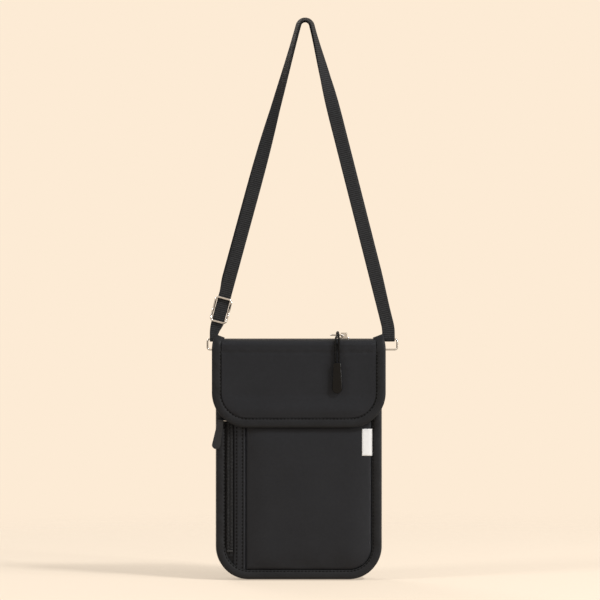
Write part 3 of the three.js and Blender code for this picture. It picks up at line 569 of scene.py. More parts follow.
def smoothed(name, node, material, levels=2):
    """A copy of a CAD node's tube, rounded by subdivision"""
    mesh = bpy.data.objects[node].data.copy()
    mesh.name = name
    mesh.materials.clear()
    work = bmesh.new()
    work.from_mesh(mesh)
    bmesh.ops.remove_doubles(work, verts=work.verts, dist=1e-6)
    bmesh.ops.join_triangles(work, faces=work.faces, angle_face_threshold=3.1, angle_shape_threshold=3.1)
    work.to_mesh(mesh)
    work.free()
    mesh.shade_smooth()
    obj = new_object(name, mesh, material)
    rounding = obj.modifiers.new("rounding", "SUBSURF")
    rounding.levels = levels
    rounding.render_levels = levels
    return baked(obj)


def baked(obj):
    """The object with its modifiers turned into plain mesh"""
    bpy.context.view_layer.update()
    evaluated = obj.evaluated_get(bpy.context.evaluated_depsgraph_get())
    mesh = bpy.data.meshes.new_from_object(evaluated)
    name = obj.name
    bpy.data.objects.remove(obj)
    mesh.name = name
    if not mesh.materials:
        raise RuntimeError(f"{name} has no finish")
    plain = bpy.data.objects.new(name, mesh)
    bpy.context.scene.collection.objects.link(plain)
    return plain


def bead_tree():
    """Nodes that set a rounded bead at every step of a line: stitches and zip teeth"""
    if "beads_on_lines" in bpy.data.node_groups:
        return bpy.data.node_groups["beads_on_lines"]
    tree = bpy.data.node_groups.new("beads_on_lines", "GeometryNodeTree")
    face = tree.interface
    face.new_socket("Lines", in_out="INPUT", socket_type="NodeSocketGeometry")
    face.new_socket("Pitch", in_out="INPUT", socket_type="NodeSocketFloat")
    face.new_socket("Bead", in_out="INPUT", socket_type="NodeSocketVector")
    face.new_socket("Across", in_out="INPUT", socket_type="NodeSocketVector")
    face.new_socket("Finish", in_out="INPUT", socket_type="NodeSocketMaterial")
    face.new_socket("Beads", in_out="OUTPUT", socket_type="NodeSocketGeometry")
    new = tree.nodes.new
    link = tree.links.new
    source = new("NodeGroupInput")
    result = new("NodeGroupOutput")
    steps = new("GeometryNodeCurveToPoints")
    steps.mode = "LENGTH"
    link(source.outputs["Lines"], steps.inputs["Curve"])
    link(source.outputs["Pitch"], steps.inputs["Length"])
    ball = new("GeometryNodeMeshUVSphere")
    ball.inputs["Segments"].default_value = 8
    ball.inputs["Rings"].default_value = 5
    ball.inputs["Radius"].default_value = 0.5
    stretch = new("GeometryNodeTransform")
    link(ball.outputs["Mesh"], stretch.inputs["Geometry"])
    link(source.outputs["Bead"], stretch.inputs["Scale"])
    along = new("FunctionNodeAlignRotationToVector")
    along.axis = "Z"
    link(steps.outputs["Tangent"], along.inputs["Vector"])
    across = new("FunctionNodeAlignRotationToVector")
    across.axis = "X"
    across.pivot_axis = "Z"
    link(along.outputs["Rotation"], across.inputs["Rotation"])
    link(source.outputs["Across"], across.inputs["Vector"])
    spread = new("GeometryNodeInstanceOnPoints")
    link(steps.outputs["Points"], spread.inputs["Points"])
    link(stretch.outputs["Geometry"], spread.inputs["Instance"])
    link(across.outputs["Rotation"], spread.inputs["Rotation"])
    real = new("GeometryNodeRealizeInstances")
    link(spread.outputs["Instances"], real.inputs["Geometry"])
    smooth = new("GeometryNodeSetShadeSmooth")
    link(real.outputs["Geometry"], smooth.inputs["Geometry"])
    dress = new("GeometryNodeSetMaterial")
    link(smooth.outputs["Geometry"], dress.inputs["Geometry"])
    link(source.outputs["Finish"], dress.inputs["Material"])
    link(dress.outputs["Geometry"], result.inputs["Beads"])
    return tree


def beads(name, lines, pitch, bead, across, material):
    """One mesh of beads along several lines of points"""
    curve = bpy.data.curves.new(name, "CURVE")
    curve.dimensions = "3D"
    for line in lines:
        spline = curve.splines.new("POLY")
        spline.points.add(len(line) - 1)
        for point, (x, y, z) in zip(spline.points, line):
            point.co = (x, y, z, 1)
    obj = bpy.data.objects.new(name, curve)
    bpy.context.scene.collection.objects.link(obj)
    tree = bead_tree()
    modifier = obj.modifiers.new("beads", "NODES")
    modifier.node_group = tree
    ids = {item.name: item.identifier for item in tree.interface.items_tree if item.in_out == "INPUT"}
    modifier[ids["Pitch"]] = pitch
    modifier[ids["Bead"]] = bead
    modifier[ids["Across"]] = across
    modifier[ids["Finish"]] = material
    return baked(obj)


# The sewn outline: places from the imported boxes, and the sizes that these do not give
BASE_CORNER = 24 * MM
TOP_CORNER = 23 * MM
FLAP_CORNER = 26 * MM
HALF = high("gusset").x
BAG_TOP = high("gusset").z
GUSSET_DEPTH = high("gusset").y
GUSSET_WALL = 1.4 * MM
GUSSET_BULGE = 0.7 * MM
TAPE_WIDTH = high("front_binding").x - high("pocket_panel").x
TAPE_FRONT = low("front_binding").y
TAPE_BACK = high("front_binding").y
POCKET_BACK = high("pocket_panel").y
POCKET_EDGE = POCKET_BACK - 0.6 * MM
POCKET_TOP = high("pocket_panel").z
POCKET_BOTTOM = low("pocket_panel").z
POCKET_RIGHT = high("pocket_panel").x
POCKET_LEFT = low("pocket_panel").x
PANEL_STEP = 1.0 * MM
FLAP_PRESS = 0.8
PRESS_REACH = 11 * MM
PANEL_RISE = 20 * MM
PANEL_ROUND = 2.5 * MM
BASE_FOLDS = 14 * MM
BACK_RISE = 18 * MM
STITCH_INSET = 0.9 * MM
STITCH_SINK = 0.30
PLACKET_SEAM = 2.3 * MM
PLACKET_EDGE = 0.7 * MM
PLACKET_PUFF = 1.1 * MM
PLACKET_ROUND = 1.6 * MM
SEAM_WIDTH = 0.6 * MM
SEAM_DEPTH = 0.35 * MM
ZIP_TAPE_GROOVE = 0.25 * MM
ZIP_TAPE_PITCH = 1.9 * MM
LABEL_LIFT = 0.35 * MM
PATCH_ROUND = 0.8 * MM


def pocket_reach(z):
    inset = HALF - POCKET_RIGHT
    return row_reach(POCKET_RIGHT, POCKET_BOTTOM, POCKET_TOP, BASE_CORNER - inset, 0.3 * MM, z)


def pocket_surface(x, z):
    """Front of the puffed pocket panel"""
    edge = min(x - POCKET_LEFT, pocket_reach(z) - x, z - POCKET_BOTTOM, POCKET_TOP - z)
    corner = Vector((x - (POCKET_RIGHT - BASE_CORNER + TAPE_WIDTH), z - BASE_CORNER))
    if corner.x > 0 and corner.y < 0:
        edge = min(edge, BASE_CORNER - TAPE_WIDTH - corner.length)
    pressed = 1 - FLAP_PRESS * math.exp(-(max(0.0, FLAP_LOW - z) / PRESS_REACH) ** 2)
    lift = PANEL_STEP * swell(edge, PANEL_ROUND) + sizes().panel_puff * pressed * swell(edge, PANEL_RISE)
    near_base = math.exp(-((z - POCKET_BOTTOM) / BASE_FOLDS) ** 2)
    folds = ripple(x, z, (0.30, 0.031, 0.055, 0.4), (0.20, 0.019, -0.04, 1.7)) * MM * near_base
    broad = ripple(x, z, (0.26, 0.085, 0.12, 0.9), (0.20, -0.06, 0.17, 2.2)) * MM
    return POCKET_EDGE - lift + (folds + broad) * swell(edge, 6 * MM)


def band_line():
    """The gusset's run: from the left end of the zip down, round the base and up to its right end"""
    arc = 22
    top_z = BAG_TOP - TOP_CORNER
    reach = HALF - TOP_CORNER
    line = []
    for i in range(arc):
        angle = math.pi / 2 + (math.pi / 2) * i / arc
        out = (math.cos(angle), math.sin(angle))
        line.append((-reach + TOP_CORNER * out[0], top_z + TOP_CORNER * out[1], (-out[0], -out[1])))
    line += edge_line(HALF, 0.0, top_z, BASE_CORNER, 3 * MM)
    for i in range(1, arc + 1):
        angle = (math.pi / 2) * i / arc
        out = (math.cos(angle), math.sin(angle))
        line.append((reach + TOP_CORNER * out[0], top_z + TOP_CORNER * out[1], (-out[0], -out[1])))
    return line


class POUCH_OT_body(bpy.types.Operator):
    """Makes the gusset, the front and back panels and the card divider"""
    bl_idname = "pouch.body"
    bl_label = "Body"

    def execute(self, context):
        steps = 8
        outer = []
        for i in range(steps + 1):
            t = -1 + 2 * i / steps
            outer.append((-GUSSET_BULGE * (1 - t * t), t * GUSSET_DEPTH))
        section = outer + [(d + GUSSET_WALL, y) for d, y in reversed(outer)]
        points, faces, lays = sweep(stations_on(band_line()), section)
        wall = make_piece("gusset_wall", points, faces, finish("fabric"), lays, 60.0)
        settle(wall, "bag", "fabric", "gusset")

        front = low("front_panel").y
        flat_rows = rows_between(0.3 * MM, BAG_TOP - 0.3 * MM, 48, lambda z: -self.reach(z), self.reach)
        sheet = cushion("front_sheet", flat_rows, lambda x, z: front, high("front_panel").y, 20,
                        finish("fabric"))
        settle(sheet, "bag", "fabric", "front_panel")

        pad = cushion("back_pad", flat_rows, self.back_surface, low("back_panel").y, 44, finish("fabric"))
        settle(pad, "bag", "fabric", "back_panel", padded=0.4)

        leaf_low, leaf_high = low("card_divider"), high("card_divider")
        radius = BASE_CORNER - GUSSET_WALL

        def leaf_reach(z):
            return row_reach(leaf_high.x, leaf_low.z, leaf_high.z, radius, GUSSET_WALL, z)

        rows = rows_between(leaf_low.z, leaf_high.z, 24, lambda z: -leaf_reach(z), leaf_reach)
        leaf = cushion("divider_leaf", rows, lambda x, z: leaf_low.y, leaf_high.y, 16, finish("lining"))
        settle(leaf, "bag", "lining", "card_divider")
        return {"FINISHED"}

    @staticmethod
    def reach(z):
        return row_reach(HALF - 0.2 * MM, 0.0, BAG_TOP, BASE_CORNER, TOP_CORNER, z)

    @classmethod
    def back_surface(cls, x, z):
        edge = min(cls.reach(z) - abs(x), z, BAG_TOP - z)
        broad = ripple(x, z, (0.16, 0.09, 0.15, 0.2), (0.12, -0.07, 0.11, 1.4)) * MM
        inside = swell(edge - TAPE_WIDTH, BACK_RISE)
        return high("back_panel").y + (sizes().back_puff + broad) * inside


FLAP_HALF = high("flap_panel").x
FLAP_LOW = low("flap_panel").z
FLAP_MIDDLE = (low("flap_panel").y + high("flap_panel").y) / 2
FLAP_AXIS_Z = high("flap_panel").z - (high("flap_panel").y - low("flap_panel").y) / 2
FOLD_REAR = high("flap_fold").y
FOLD_HEIGHT = high("flap_fold").z - 0.6 * MM
FOLD_FRONT_Y = POCKET_BACK
BAND_Z = FLAP_AXIS_Z - 4.5 * MM
SHOULDER_START = FLAP_AXIS_Z - 3 * MM
SHOULDER_TOP = FLAP_AXIS_Z + 9 * MM
SHOULDER_LEAN = 2.2 * MM
SHOULDER_ROLL = 5 * MM
SHOULDER_SLANT = 0.38
TUCK = 7 * MM
SLIDER_TRIM = 0.45 * MM
SLIDER_EASE = 0.6


def tape_section(width, front, back):
    """A folded tape: rolled outside, sewn down along its inner edge"""
    depth = back - front
    mid = front + 0.35 * depth
    return [
        (width, back), (width, mid + 0.05 * depth), (width - 0.25 * MM, mid),
        (width - 0.9 * MM, mid - 0.02 * depth), (width - 1.5 * MM, front + 0.16 * depth),
        (width * 0.62, front + 0.04 * depth), (width * 0.46, front), (width * 0.30, front + 0.02 * depth),
        (width * 0.16, front + 0.12 * depth), (width * 0.05, front + 0.32 * depth),
        (0.0, front + 0.55 * depth), (width * 0.02, front + 0.80 * depth), (width * 0.09, back),
    ]


class POUCH_OT_tapes(bpy.types.Operator):
    """Makes the folded tapes round the front, the back and the flap"""
    bl_idname = "pouch.tapes"
    bl_label = "Edge Tapes"

    def execute(self, context):
        front = tape_section(TAPE_WIDTH, TAPE_FRONT, TAPE_BACK)
        line = edge_line(HALF, 0.0, high("front_binding").z, BASE_CORNER)
        tape = self.make("front_tape", line, front, lambda point: self.tuck(point, line[-1][1], TAPE_BACK))
        settle(tape, "bag", "edge_tape", "front_binding")

        back = tape_section(TAPE_WIDTH, high("back_binding").y, low("back_binding").y)
        line = edge_line(HALF, 0.0, high("back_binding").z, BASE_CORNER)
        inner = low("back_binding").y
        tape = self.make("back_tape", line, back, lambda point: self.tuck(point, line[-1][1], inner))
        settle(tape, "bag", "edge_tape", "back_binding")

        lo, hi = low("flap_binding"), high("flap_binding")
        flap = tape_section(hi.x - high("flap_panel").x, lo.y, hi.y)
        line = edge_line(hi.x, lo.z, SHOULDER_TOP, FLAP_CORNER)
        tape = self.make("flap_tape", line, flap, lambda point: self.shoulder(self.pucker(point, hi.x)))
        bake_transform(tape)
        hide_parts("flap_binding")
        return {"FINISHED"}

    @staticmethod
    def pucker(point, half):
        """Slanting gathers between the rolled edge and the seam"""
        x, y, z = point
        inset = half - abs(x)
        sides = math.exp(-((inset - 3.2 * MM) / (2.2 * MM)) ** 2)
        slant = z + 0.9 * inset
        pull = ripple(0.0, slant, (0.16, 1.0, 0.0083, 0.4), (0.10, 1.0, 0.0131, 2.1))
        broad = ripple(x, z, (0.07, 0.021, 0.017, 0.3))
        return x, y + (pull * sides + broad) * MM, z

    @classmethod
    def tuck(cls, point, top, inner):
        """A body tape thins out at its upper ends, where it is sewn under; the front one is
        narrower on the left, where the pocket's slider runs beside it"""
        x, y, z = cls.pucker(point, HALF)
        if x < 0 and y < 0 and z > BASE_CORNER:
            x = min(x, TAPE_WIDTH - SLIDER_TRIM - HALF)
        t = max(0.0, 1 - (top - z) / TUCK)
        return x, y + (inner - y) * 0.8 * t * t, z

    @staticmethod
    def shoulder(point):
        """The upper ends lean in, slant down towards the fold and roll back over the corner"""
        x, y, z = point
        t = max(0.0, (z - SHOULDER_START) / (SHOULDER_TOP - SHOULDER_START))
        inset = high("flap_binding").x - abs(x)
        lean = math.copysign(SHOULDER_LEAN * t * t, x)
        thin = (FLAP_MIDDLE - y) * 0.85 * t ** 6
        return x - lean, y + thin + SHOULDER_ROLL * t * t, z - SHOULDER_SLANT * inset * t

    @staticmethod
    def make(name, line, section, shape):
        points, faces, lays = sweep(stations_on(line), section)
        return make_piece(name, [shape(point) for point in points], faces, finish("tape"), lays, 60.0)


class POUCH_OT_pocket(bpy.types.Operator):
    """Makes the puffed pocket panel, the placket, the zip's tapes and the side label"""
    bl_idname = "pouch.pocket"
    bl_label = "Front Pocket"

    def execute(self, context):
        rows = rows_between(POCKET_BOTTOM, POCKET_TOP, 90, lambda z: POCKET_LEFT, pocket_reach)
        panel = cushion("pocket_puff", rows, pocket_surface, POCKET_BACK, 64, finish("fabric"))
        settle(panel, "bag", "fabric", "pocket_panel", padded=0.5)

        inset = HALF - POCKET_RIGHT
        corner = BASE_CORNER - inset

        def left_edge(limit):
            return lambda z: max(limit, -row_reach(POCKET_RIGHT, POCKET_BOTTOM, POCKET_TOP, corner, MM, z))

        strip_left, strip_right = low("pocket_placket").x, high("pocket_placket").x
        rows = rows_between(low("pocket_placket").z, POCKET_TOP, 60, left_edge(strip_left),
                            lambda z: strip_right)

        def placket_surface(x, z):
            edge = min((x - strip_left) * SLIDER_EASE, strip_right - x)
            seam = math.exp(-((strip_right - x - PLACKET_SEAM) / SEAM_WIDTH) ** 2)
            fold = math.exp(-((x - strip_left - PLACKET_SEAM) / SEAM_WIDTH) ** 2)
            lift = PLACKET_EDGE + PLACKET_PUFF * swell(edge, PLACKET_ROUND)
            return POCKET_BACK - lift + SEAM_DEPTH * (seam + fold)

        strip = cushion("placket_strip", rows, placket_surface, POCKET_BACK, 40, finish("fabric"))
        settle(strip, "bag", "fabric", "pocket_placket")

        for side in ("left", "right"):
            node = f"pocket_zip_tape_{side}"
            lo, hi = low(node), high(node)
            rows = rows_between(lo.z, hi.z, 40, left_edge(lo.x), lambda z: hi.x)
            tape = cushion(f"pocket_zip_strip_{side}", rows,
                           lambda x, z: lo.y + ZIP_TAPE_GROOVE * math.cos(TAU * x / ZIP_TAPE_PITCH) ** 8,
                           hi.y, 14, finish("tape_flat"))
            settle(tape, "bag", "edge_tape", node)

        lo, hi = low("side_label"), high("side_label")
        thick = hi.y - lo.y

        def label_surface(x, z):
            edge = min(x - lo.x, hi.x - x, z - lo.z, hi.z - z)
            return pocket_surface(x, z) - LABEL_LIFT - thick * swell(edge, PATCH_ROUND)

        rows = rows_between(lo.z, hi.z, 24, lambda z: lo.x, lambda z: hi.x)
        label = cushion("label_patch", rows, label_surface, hi.y, 16, finish("label"))
        settle(label, "bag", "label", "side_label")
        return {"FINISHED"}


LOOP_PAD = 0.5 * MM
SHEET_HALF = 0.75 * MM
PULL_GAP = 0.15 * MM
PULL_ROOM = 15 * MM
FLAP_RIPPLE = 0.46 * MM
FLAP_RISE = 16 * MM
FOLD_PUFF = 0.25 * MM
FOLD_ROUND = 5 * MM
BAND_PUFF = 0.5 * MM
GROOVE_WIDTH = 1.1 * MM
GROOVE_DEPTH = 0.5 * MM


class POUCH_OT_flap(bpy.types.Operator):
    """Makes the flap as one sheet, sewn at the rear of its fold, and its touch pads"""
    bl_idname = "pouch.flap"
    bl_label = "Flap"

    def execute(self, context):
        path = self.path()
        rear = max(self.rear(node) for node in ("top_zip_pull_cord", "top_zip_pull_grip"))
        room = FLAP_MIDDLE - SHEET_HALF - rear - PULL_GAP
        columns = 72
        corner = FLAP_CORNER - (high("flap_binding").x - FLAP_HALF)
        points = []
        for face in (1, -1):
            for y, z, ny, nz, front in path:
                half = FLAP_HALF
                if front:
                    half = row_reach(FLAP_HALF, FLAP_LOW, 1.0, corner, 0.0, z)
                for i in range(columns + 1):
                    x = half * (2 * eased_way(i / columns) - 1)
                    lift = SHEET_HALF
                    if face > 0:
                        lift += self.puff(x, z, half, front, room)
                    points.append((x, y + face * ny * lift, z + face * nz * lift))
        faces = shell_faces(len(path), columns)
        shell = make_piece("flap_sheet", points, faces, finish("fabric"), sharp=SHARP_EDGE)
        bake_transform(shell)
        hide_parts("flap_panel", "flap_fold")
        hook = softened("flap_hook_pad_sewn", "flap_hook_pad", finish("tape_flat"), 0.4 * MM)
        settle(hook, "flap", "edge_tape", "flap_hook_pad")

        lo, hi = low("pocket_loop_pad"), high("pocket_loop_pad")

        def loop_surface(x, z):
            edge = min(x - lo.x, hi.x - x, z - lo.z, hi.z - z)
            return pocket_surface(x, z) - LOOP_PAD * swell(edge, PATCH_ROUND)

        rows = rows_between(lo.z, hi.z, 16, lambda z: lo.x, lambda z: hi.x)
        loop = cushion("pocket_loop_pad_sewn", rows, loop_surface, hi.y, 40, finish("tape_flat"))
        settle(loop, "bag", "edge_tape", "pocket_loop_pad")
        return {"FINISHED"}

    @staticmethod
    def path():
        """Rows down the sheet: y, z, outward y and z, and whether the row is on the front"""
        rows = []
        flat = 5
        for i in range(flat):
            t = i / flat
            rows.append((FOLD_REAR + (FOLD_FRONT_Y - FOLD_REAR) * t, FOLD_HEIGHT, 0.0, 1.0, False))
        bend = 14
        drop = FOLD_HEIGHT - FLAP_AXIS_Z
        for i in range(bend):
            angle = (math.pi / 2) * i / bend
            rows.append((FOLD_FRONT_Y + (FLAP_MIDDLE - FOLD_FRONT_Y) * math.sin(angle),
                         FLAP_AXIS_Z + drop * math.cos(angle), -math.sin(angle), math.cos(angle), False))
        down = 64
        for i in range(down + 1):
            t = i / down
            eased = 0.5 * t + 0.5 * math.sin(math.pi * t / 2)
            rows.append((FLAP_MIDDLE, FLAP_AXIS_Z + (FLAP_LOW - FLAP_AXIS_Z) * eased, -1.0, 0.0, True))
        return rows

    @staticmethod
    def rear(node):
        """How far back a piece of the pull reaches where it hangs in front of the flap"""
        return max(v.co.y for v in bpy.data.objects[node].data.vertices if v.co.z < BAND_Z)

    @staticmethod
    def puff(x, z, half, front, room):
        """The flap lies flat where the pull slides along it and swells towards its lower edge"""
        if not front:
            return FOLD_PUFF * swell(half - abs(x), FOLD_ROUND)
        gathers = ripple(x, z, (0.18, 0.0115, 0.031, 0.0), (0.14, 0.0067, -0.024, 1.3)) * MM
        gathers *= math.exp(-((z - BAND_Z - 1.5 * MM) / (2.6 * MM)) ** 2)
        edge = min(half - abs(x), z - FLAP_LOW, abs(BAND_Z - z) + 2 * MM)
        below = min(1.0, max(0.0, (low("top_zip_pull_grip").z - z) / PULL_ROOM))
        free = 0.5 - 0.5 * math.cos(math.pi * below)
        flat = room - FLAP_RIPPLE if z < BAND_Z else BAND_PUFF
        depth = flat + (sizes().flap_puff - flat) * free
        groove = math.exp(-((z - BAND_Z) / GROOVE_WIDTH) ** 2) * GROOVE_DEPTH
        broad = ripple(x, z, (0.26, 0.09, 0.13, 0.6), (0.20, -0.05, 0.09, 2.9)) * MM
        puff = (depth + broad) * swell(edge, FLAP_RISE) - groove + gathers
        return puff - max(0.0, puff - room) * (1 - free)


COIL_SIDE = 1.15 * MM
COIL_START = 0.3 * MM
COIL_END = 1.0 * MM
COIL_TOOTH = (2.4 * MM, 1.15 * MM, 0.72 * MM)
TOP_TAPE_RIDGE = 0.18 * MM
TOP_TAPE_PITCH = 3.2 * MM
TOP_TAPE_SINK = 0.2 * MM


class POUCH_OT_zips(bpy.types.Operator):
    """Makes the coils, tapes, sliders and pulls of both zips"""
    bl_idname = "pouch.zips"
    bl_label = "Zips"

    def execute(self, context):
        pitch = sizes().coil_pitch
        for side in ("front", "back"):
            node = f"top_zip_tape_{side}"
            lo, hi = low(node), high(node)
            rows = [(lo.y, hi.y, lo.x + (hi.x - lo.x) * i / 60) for i in range(61)]
            self.flat_tape(f"top_zip_strip_{side}", rows, lo.z, hi.z, node)

        lo, hi = low("top_zip_teeth_front"), high("top_zip_teeth_back")
        middle = (lo.z + hi.z) / 2
        sides = ((-COIL_SIDE, COIL_START), (COIL_SIDE, COIL_START + pitch / 2))
        lines = [[(lo.x + shift, side, middle), (hi.x - COIL_END + shift, side, middle)]
                 for side, shift in sides]
        coil = beads("top_zip_coil", lines, pitch, COIL_TOOTH, (0, 1, 0), finish("coil"))
        settle(coil, "bag", "zip_nylon", "top_zip_teeth_front", "top_zip_teeth_back")

        lo, hi = low("pocket_zip_teeth_left"), high("pocket_zip_teeth_right")
        x, y = (lo.x + hi.x) / 2, (lo.y + hi.y) / 2
        lines = [[(x + side, y, lo.z + shift), (x + side, y, hi.z - COIL_END + shift)]
                 for side, shift in sides]
        coil = beads("pocket_zip_coil", lines, pitch, COIL_TOOTH, (1, 0, 0), finish("coil"))
        settle(coil, "bag", "zip_nylon", "pocket_zip_teeth_left", "pocket_zip_teeth_right")

        plain = (
            ("top_zip_slider", "top_slider", "bright_metal", "metal", 0.3 * MM),
            ("pocket_zip_slider", "pocket_slider", "bright_metal", "metal", 0.2 * MM),
            ("top_zip_pull_grip", "top_pull", "pull_grip", "grip", 0.7 * MM),
            ("pocket_zip_tab", "pocket_tab", "pull_leather", "tab", 0.3 * MM),
            ("pocket_zip_stop", "bag", "zip_nylon", "coil", 0.2 * MM),
        )
        for node, body, slot, look, width in plain:
            settle(softened(f"{node}_body", node, finish(look), width), body, slot, node)
        settle(smoothed("top_zip_ring_wire", "top_zip_ring", finish("metal")), "top_slider", "bright_metal",
               "top_zip_ring")
        settle(smoothed("top_zip_cord", "top_zip_pull_cord", finish("thread")), "top_pull", "webbing",
               "top_zip_pull_cord")
        return {"FINISHED"}

    @staticmethod
    def flat_tape(name, rows, bottom, top, node):
        """A tape across the top, with a raised edge beside the coil and a sewn valley"""
        columns = 12
        points = []
        for face in (0, 1):
            for near, far, x in rows:
                for i in range(columns + 1):
                    y = near + (far - near) * i / columns
                    ridge = TOP_TAPE_RIDGE * math.cos(TAU * abs(y) / TOP_TAPE_PITCH) ** 4
                    points.append((x, y, top - TOP_TAPE_SINK + ridge if face == 0 else bottom))
        faces = shell_faces(len(rows), columns)
        strip = make_piece(name, points, faces, finish("tape_flat"), sharp=SHARP_EDGE)
        settle(strip, "bag", "edge_tape", node)


WEBBING_HALF = 4.7 * MM
WEBBING_PLY = 0.5 * MM
RIB_DEPTH = 0.09 * MM
LAYER_GAP = 0.65 * MM
LOOP_RADIUS = 1.6 * MM
RING_WIRE = 1.6 * MM
RING_BAR_Z = high("left_ring").z - RING_WIRE / 2
RING_LEFT = (low("left_ring").x + high("left_ring").x) / 2
RING_RIGHT = (low("right_ring").x + high("right_ring").x) / 2
CROWN = (4.9 * MM, RING_BAR_Z + 252.2 * MM)
KNEE = 8 * MM
KNEE_RADIUS = 30 * MM
CROWN_RADIUS = 5 * MM
RIGHT_TWIST = 75 * MM
LEFT_TWIST = 135 * MM
CROWN_TURN = 0.3
GATHER = 0.40
GATHER_LENGTH = 13 * MM
SPREAD = 12 * MM
SEWN_LEG = 14 * MM
ADJUSTER_RISE = 22 * MM
ADJUSTER_FOLD = 11 * MM
SIDE_SHIFT = 0.8 * MM
LEFT_SHIFT = 1.1 * MM


def ease(value, length):
    t = min(1.0, max(0.0, value / length))
    return t * t * (3 - 2 * t)


class StrapLine:
    """The strap's middle line in X and Z: right ring, knee, crown, knee, left ring"""

    def __init__(self):
        knee = RING_BAR_Z + KNEE
        corners = [Vector(c) for c in ((RING_RIGHT, RING_BAR_Z), (RING_RIGHT, knee), CROWN,
                                       (RING_LEFT, knee), (RING_LEFT, RING_BAR_Z))]
        radii = (KNEE_RADIUS, CROWN_RADIUS, KNEE_RADIUS)
        self.runs = []
        here = corners[0]
        for before, corner, after, radius in zip(corners, corners[1:], corners[2:], radii):
            back = (before - corner).normalized()
            ahead = (after - corner).normalized()
            half = math.acos(back.dot(ahead)) / 2
            start = corner + back * (radius / math.tan(half))
            end = corner + ahead * (radius / math.tan(half))
            centre = corner + (back + ahead).normalized() * (radius / math.sin(half))
            first = math.atan2(*(start - centre).yx)
            turn = math.atan2(*(end - centre).yx) - first
            turn = (turn + math.pi) % TAU - math.pi
            self.runs.append((self.straight(here, start), (start - here).length))
            self.runs.append((self.arc(centre, radius, first, turn), abs(turn) * radius))
            here = end
        self.runs.append((self.straight(here, corners[-1]), (corners[-1] - here).length))
        self.length = sum(length for _, length in self.runs)
        self.crown_start = sum(length for _, length in self.runs[:3])
        self.crown_end = self.crown_start + self.runs[3][1]

    @staticmethod
    def straight(start, end):
        way = (end - start).normalized()
        return lambda s: (start + way * s, way)

    @staticmethod
    def arc(centre, radius, first, turn):
        sign = 1 if turn > 0 else -1

        def at(s):
            angle = first + sign * s / radius
            out = Vector((math.cos(angle), math.sin(angle)))
            return centre + out * radius, Vector((-out.y, out.x)) * sign
        return at

    def at(self, distance):
        for run, length in self.runs[:-1]:
            if distance <= length:
                return run(distance)
            distance -= length
        return self.runs[-1][0](distance)

    def station(self, distance, side, direction, shift=0.0):
        """Middle, across and outward directions of the front (1) or back (-1) layer"""
        point, way = self.at(distance)
        loose = max(ease(self.crown_start - distance, RIGHT_TWIST),
                    ease(distance - self.crown_end, LEFT_TWIST))
        turn = CROWN_TURN + (math.pi / 2 - CROWN_TURN) * loose
        face = Vector((way.y * math.cos(turn), -math.sin(turn), -way.x * math.cos(turn)))
        travel = Vector((way.x, 0, way.y))
        spread = 1 - ease(min(distance, self.length - distance), SPREAD)
        offset = LAYER_GAP + (LOOP_RADIUS - LAYER_GAP) * spread
        across = travel.cross(face)
        middle = Vector((point.x, 0, point.y)) + face * (side * offset) + across * shift
        return middle, across * direction * side, face * side


def ribbed_section(i):
    """A webbing section with thicker edges; every second station stands a little proud"""
    ply = WEBBING_PLY - (RIB_DEPTH if i % 2 else 0.0)
    half = WEBBING_HALF
    left = [(-half + 0.25 * MM, ply * 0.8), (-half + 0.9 * MM, ply), (-half + 1.4 * MM, ply * 0.9)]
    upper = left + [(0.0, ply)] + [(-a, b) for a, b in reversed(left)]
    return [(half, 0.0)] + upper[::-1] + [(-half, 0.0)] + [(a, -b) for a, b in upper]


def gathered(station, rise):
    """The webbing bunches up against the outer side of the left ring"""
    middle, across, outward = station
    share = GATHER * (1 - ease(rise, GATHER_LENGTH))
    return middle - Vector((share * WEBBING_HALF, 0, 0)), across * (1 - share), outward


def webbing_piece(name, stations, body, *nodes):
    travelled = 0.0
    rows = []
    for i, (middle, across, outward) in enumerate(stations):
        if i:
            travelled += (middle - stations[i - 1][0]).length
        rows.append((middle, across, outward, travelled))
    points, faces, lays = sweep(rows, ribbed_section)
    return settle(make_piece(name, points, faces, finish("webbing"), lays, 75.0), body, "webbing", *nodes)


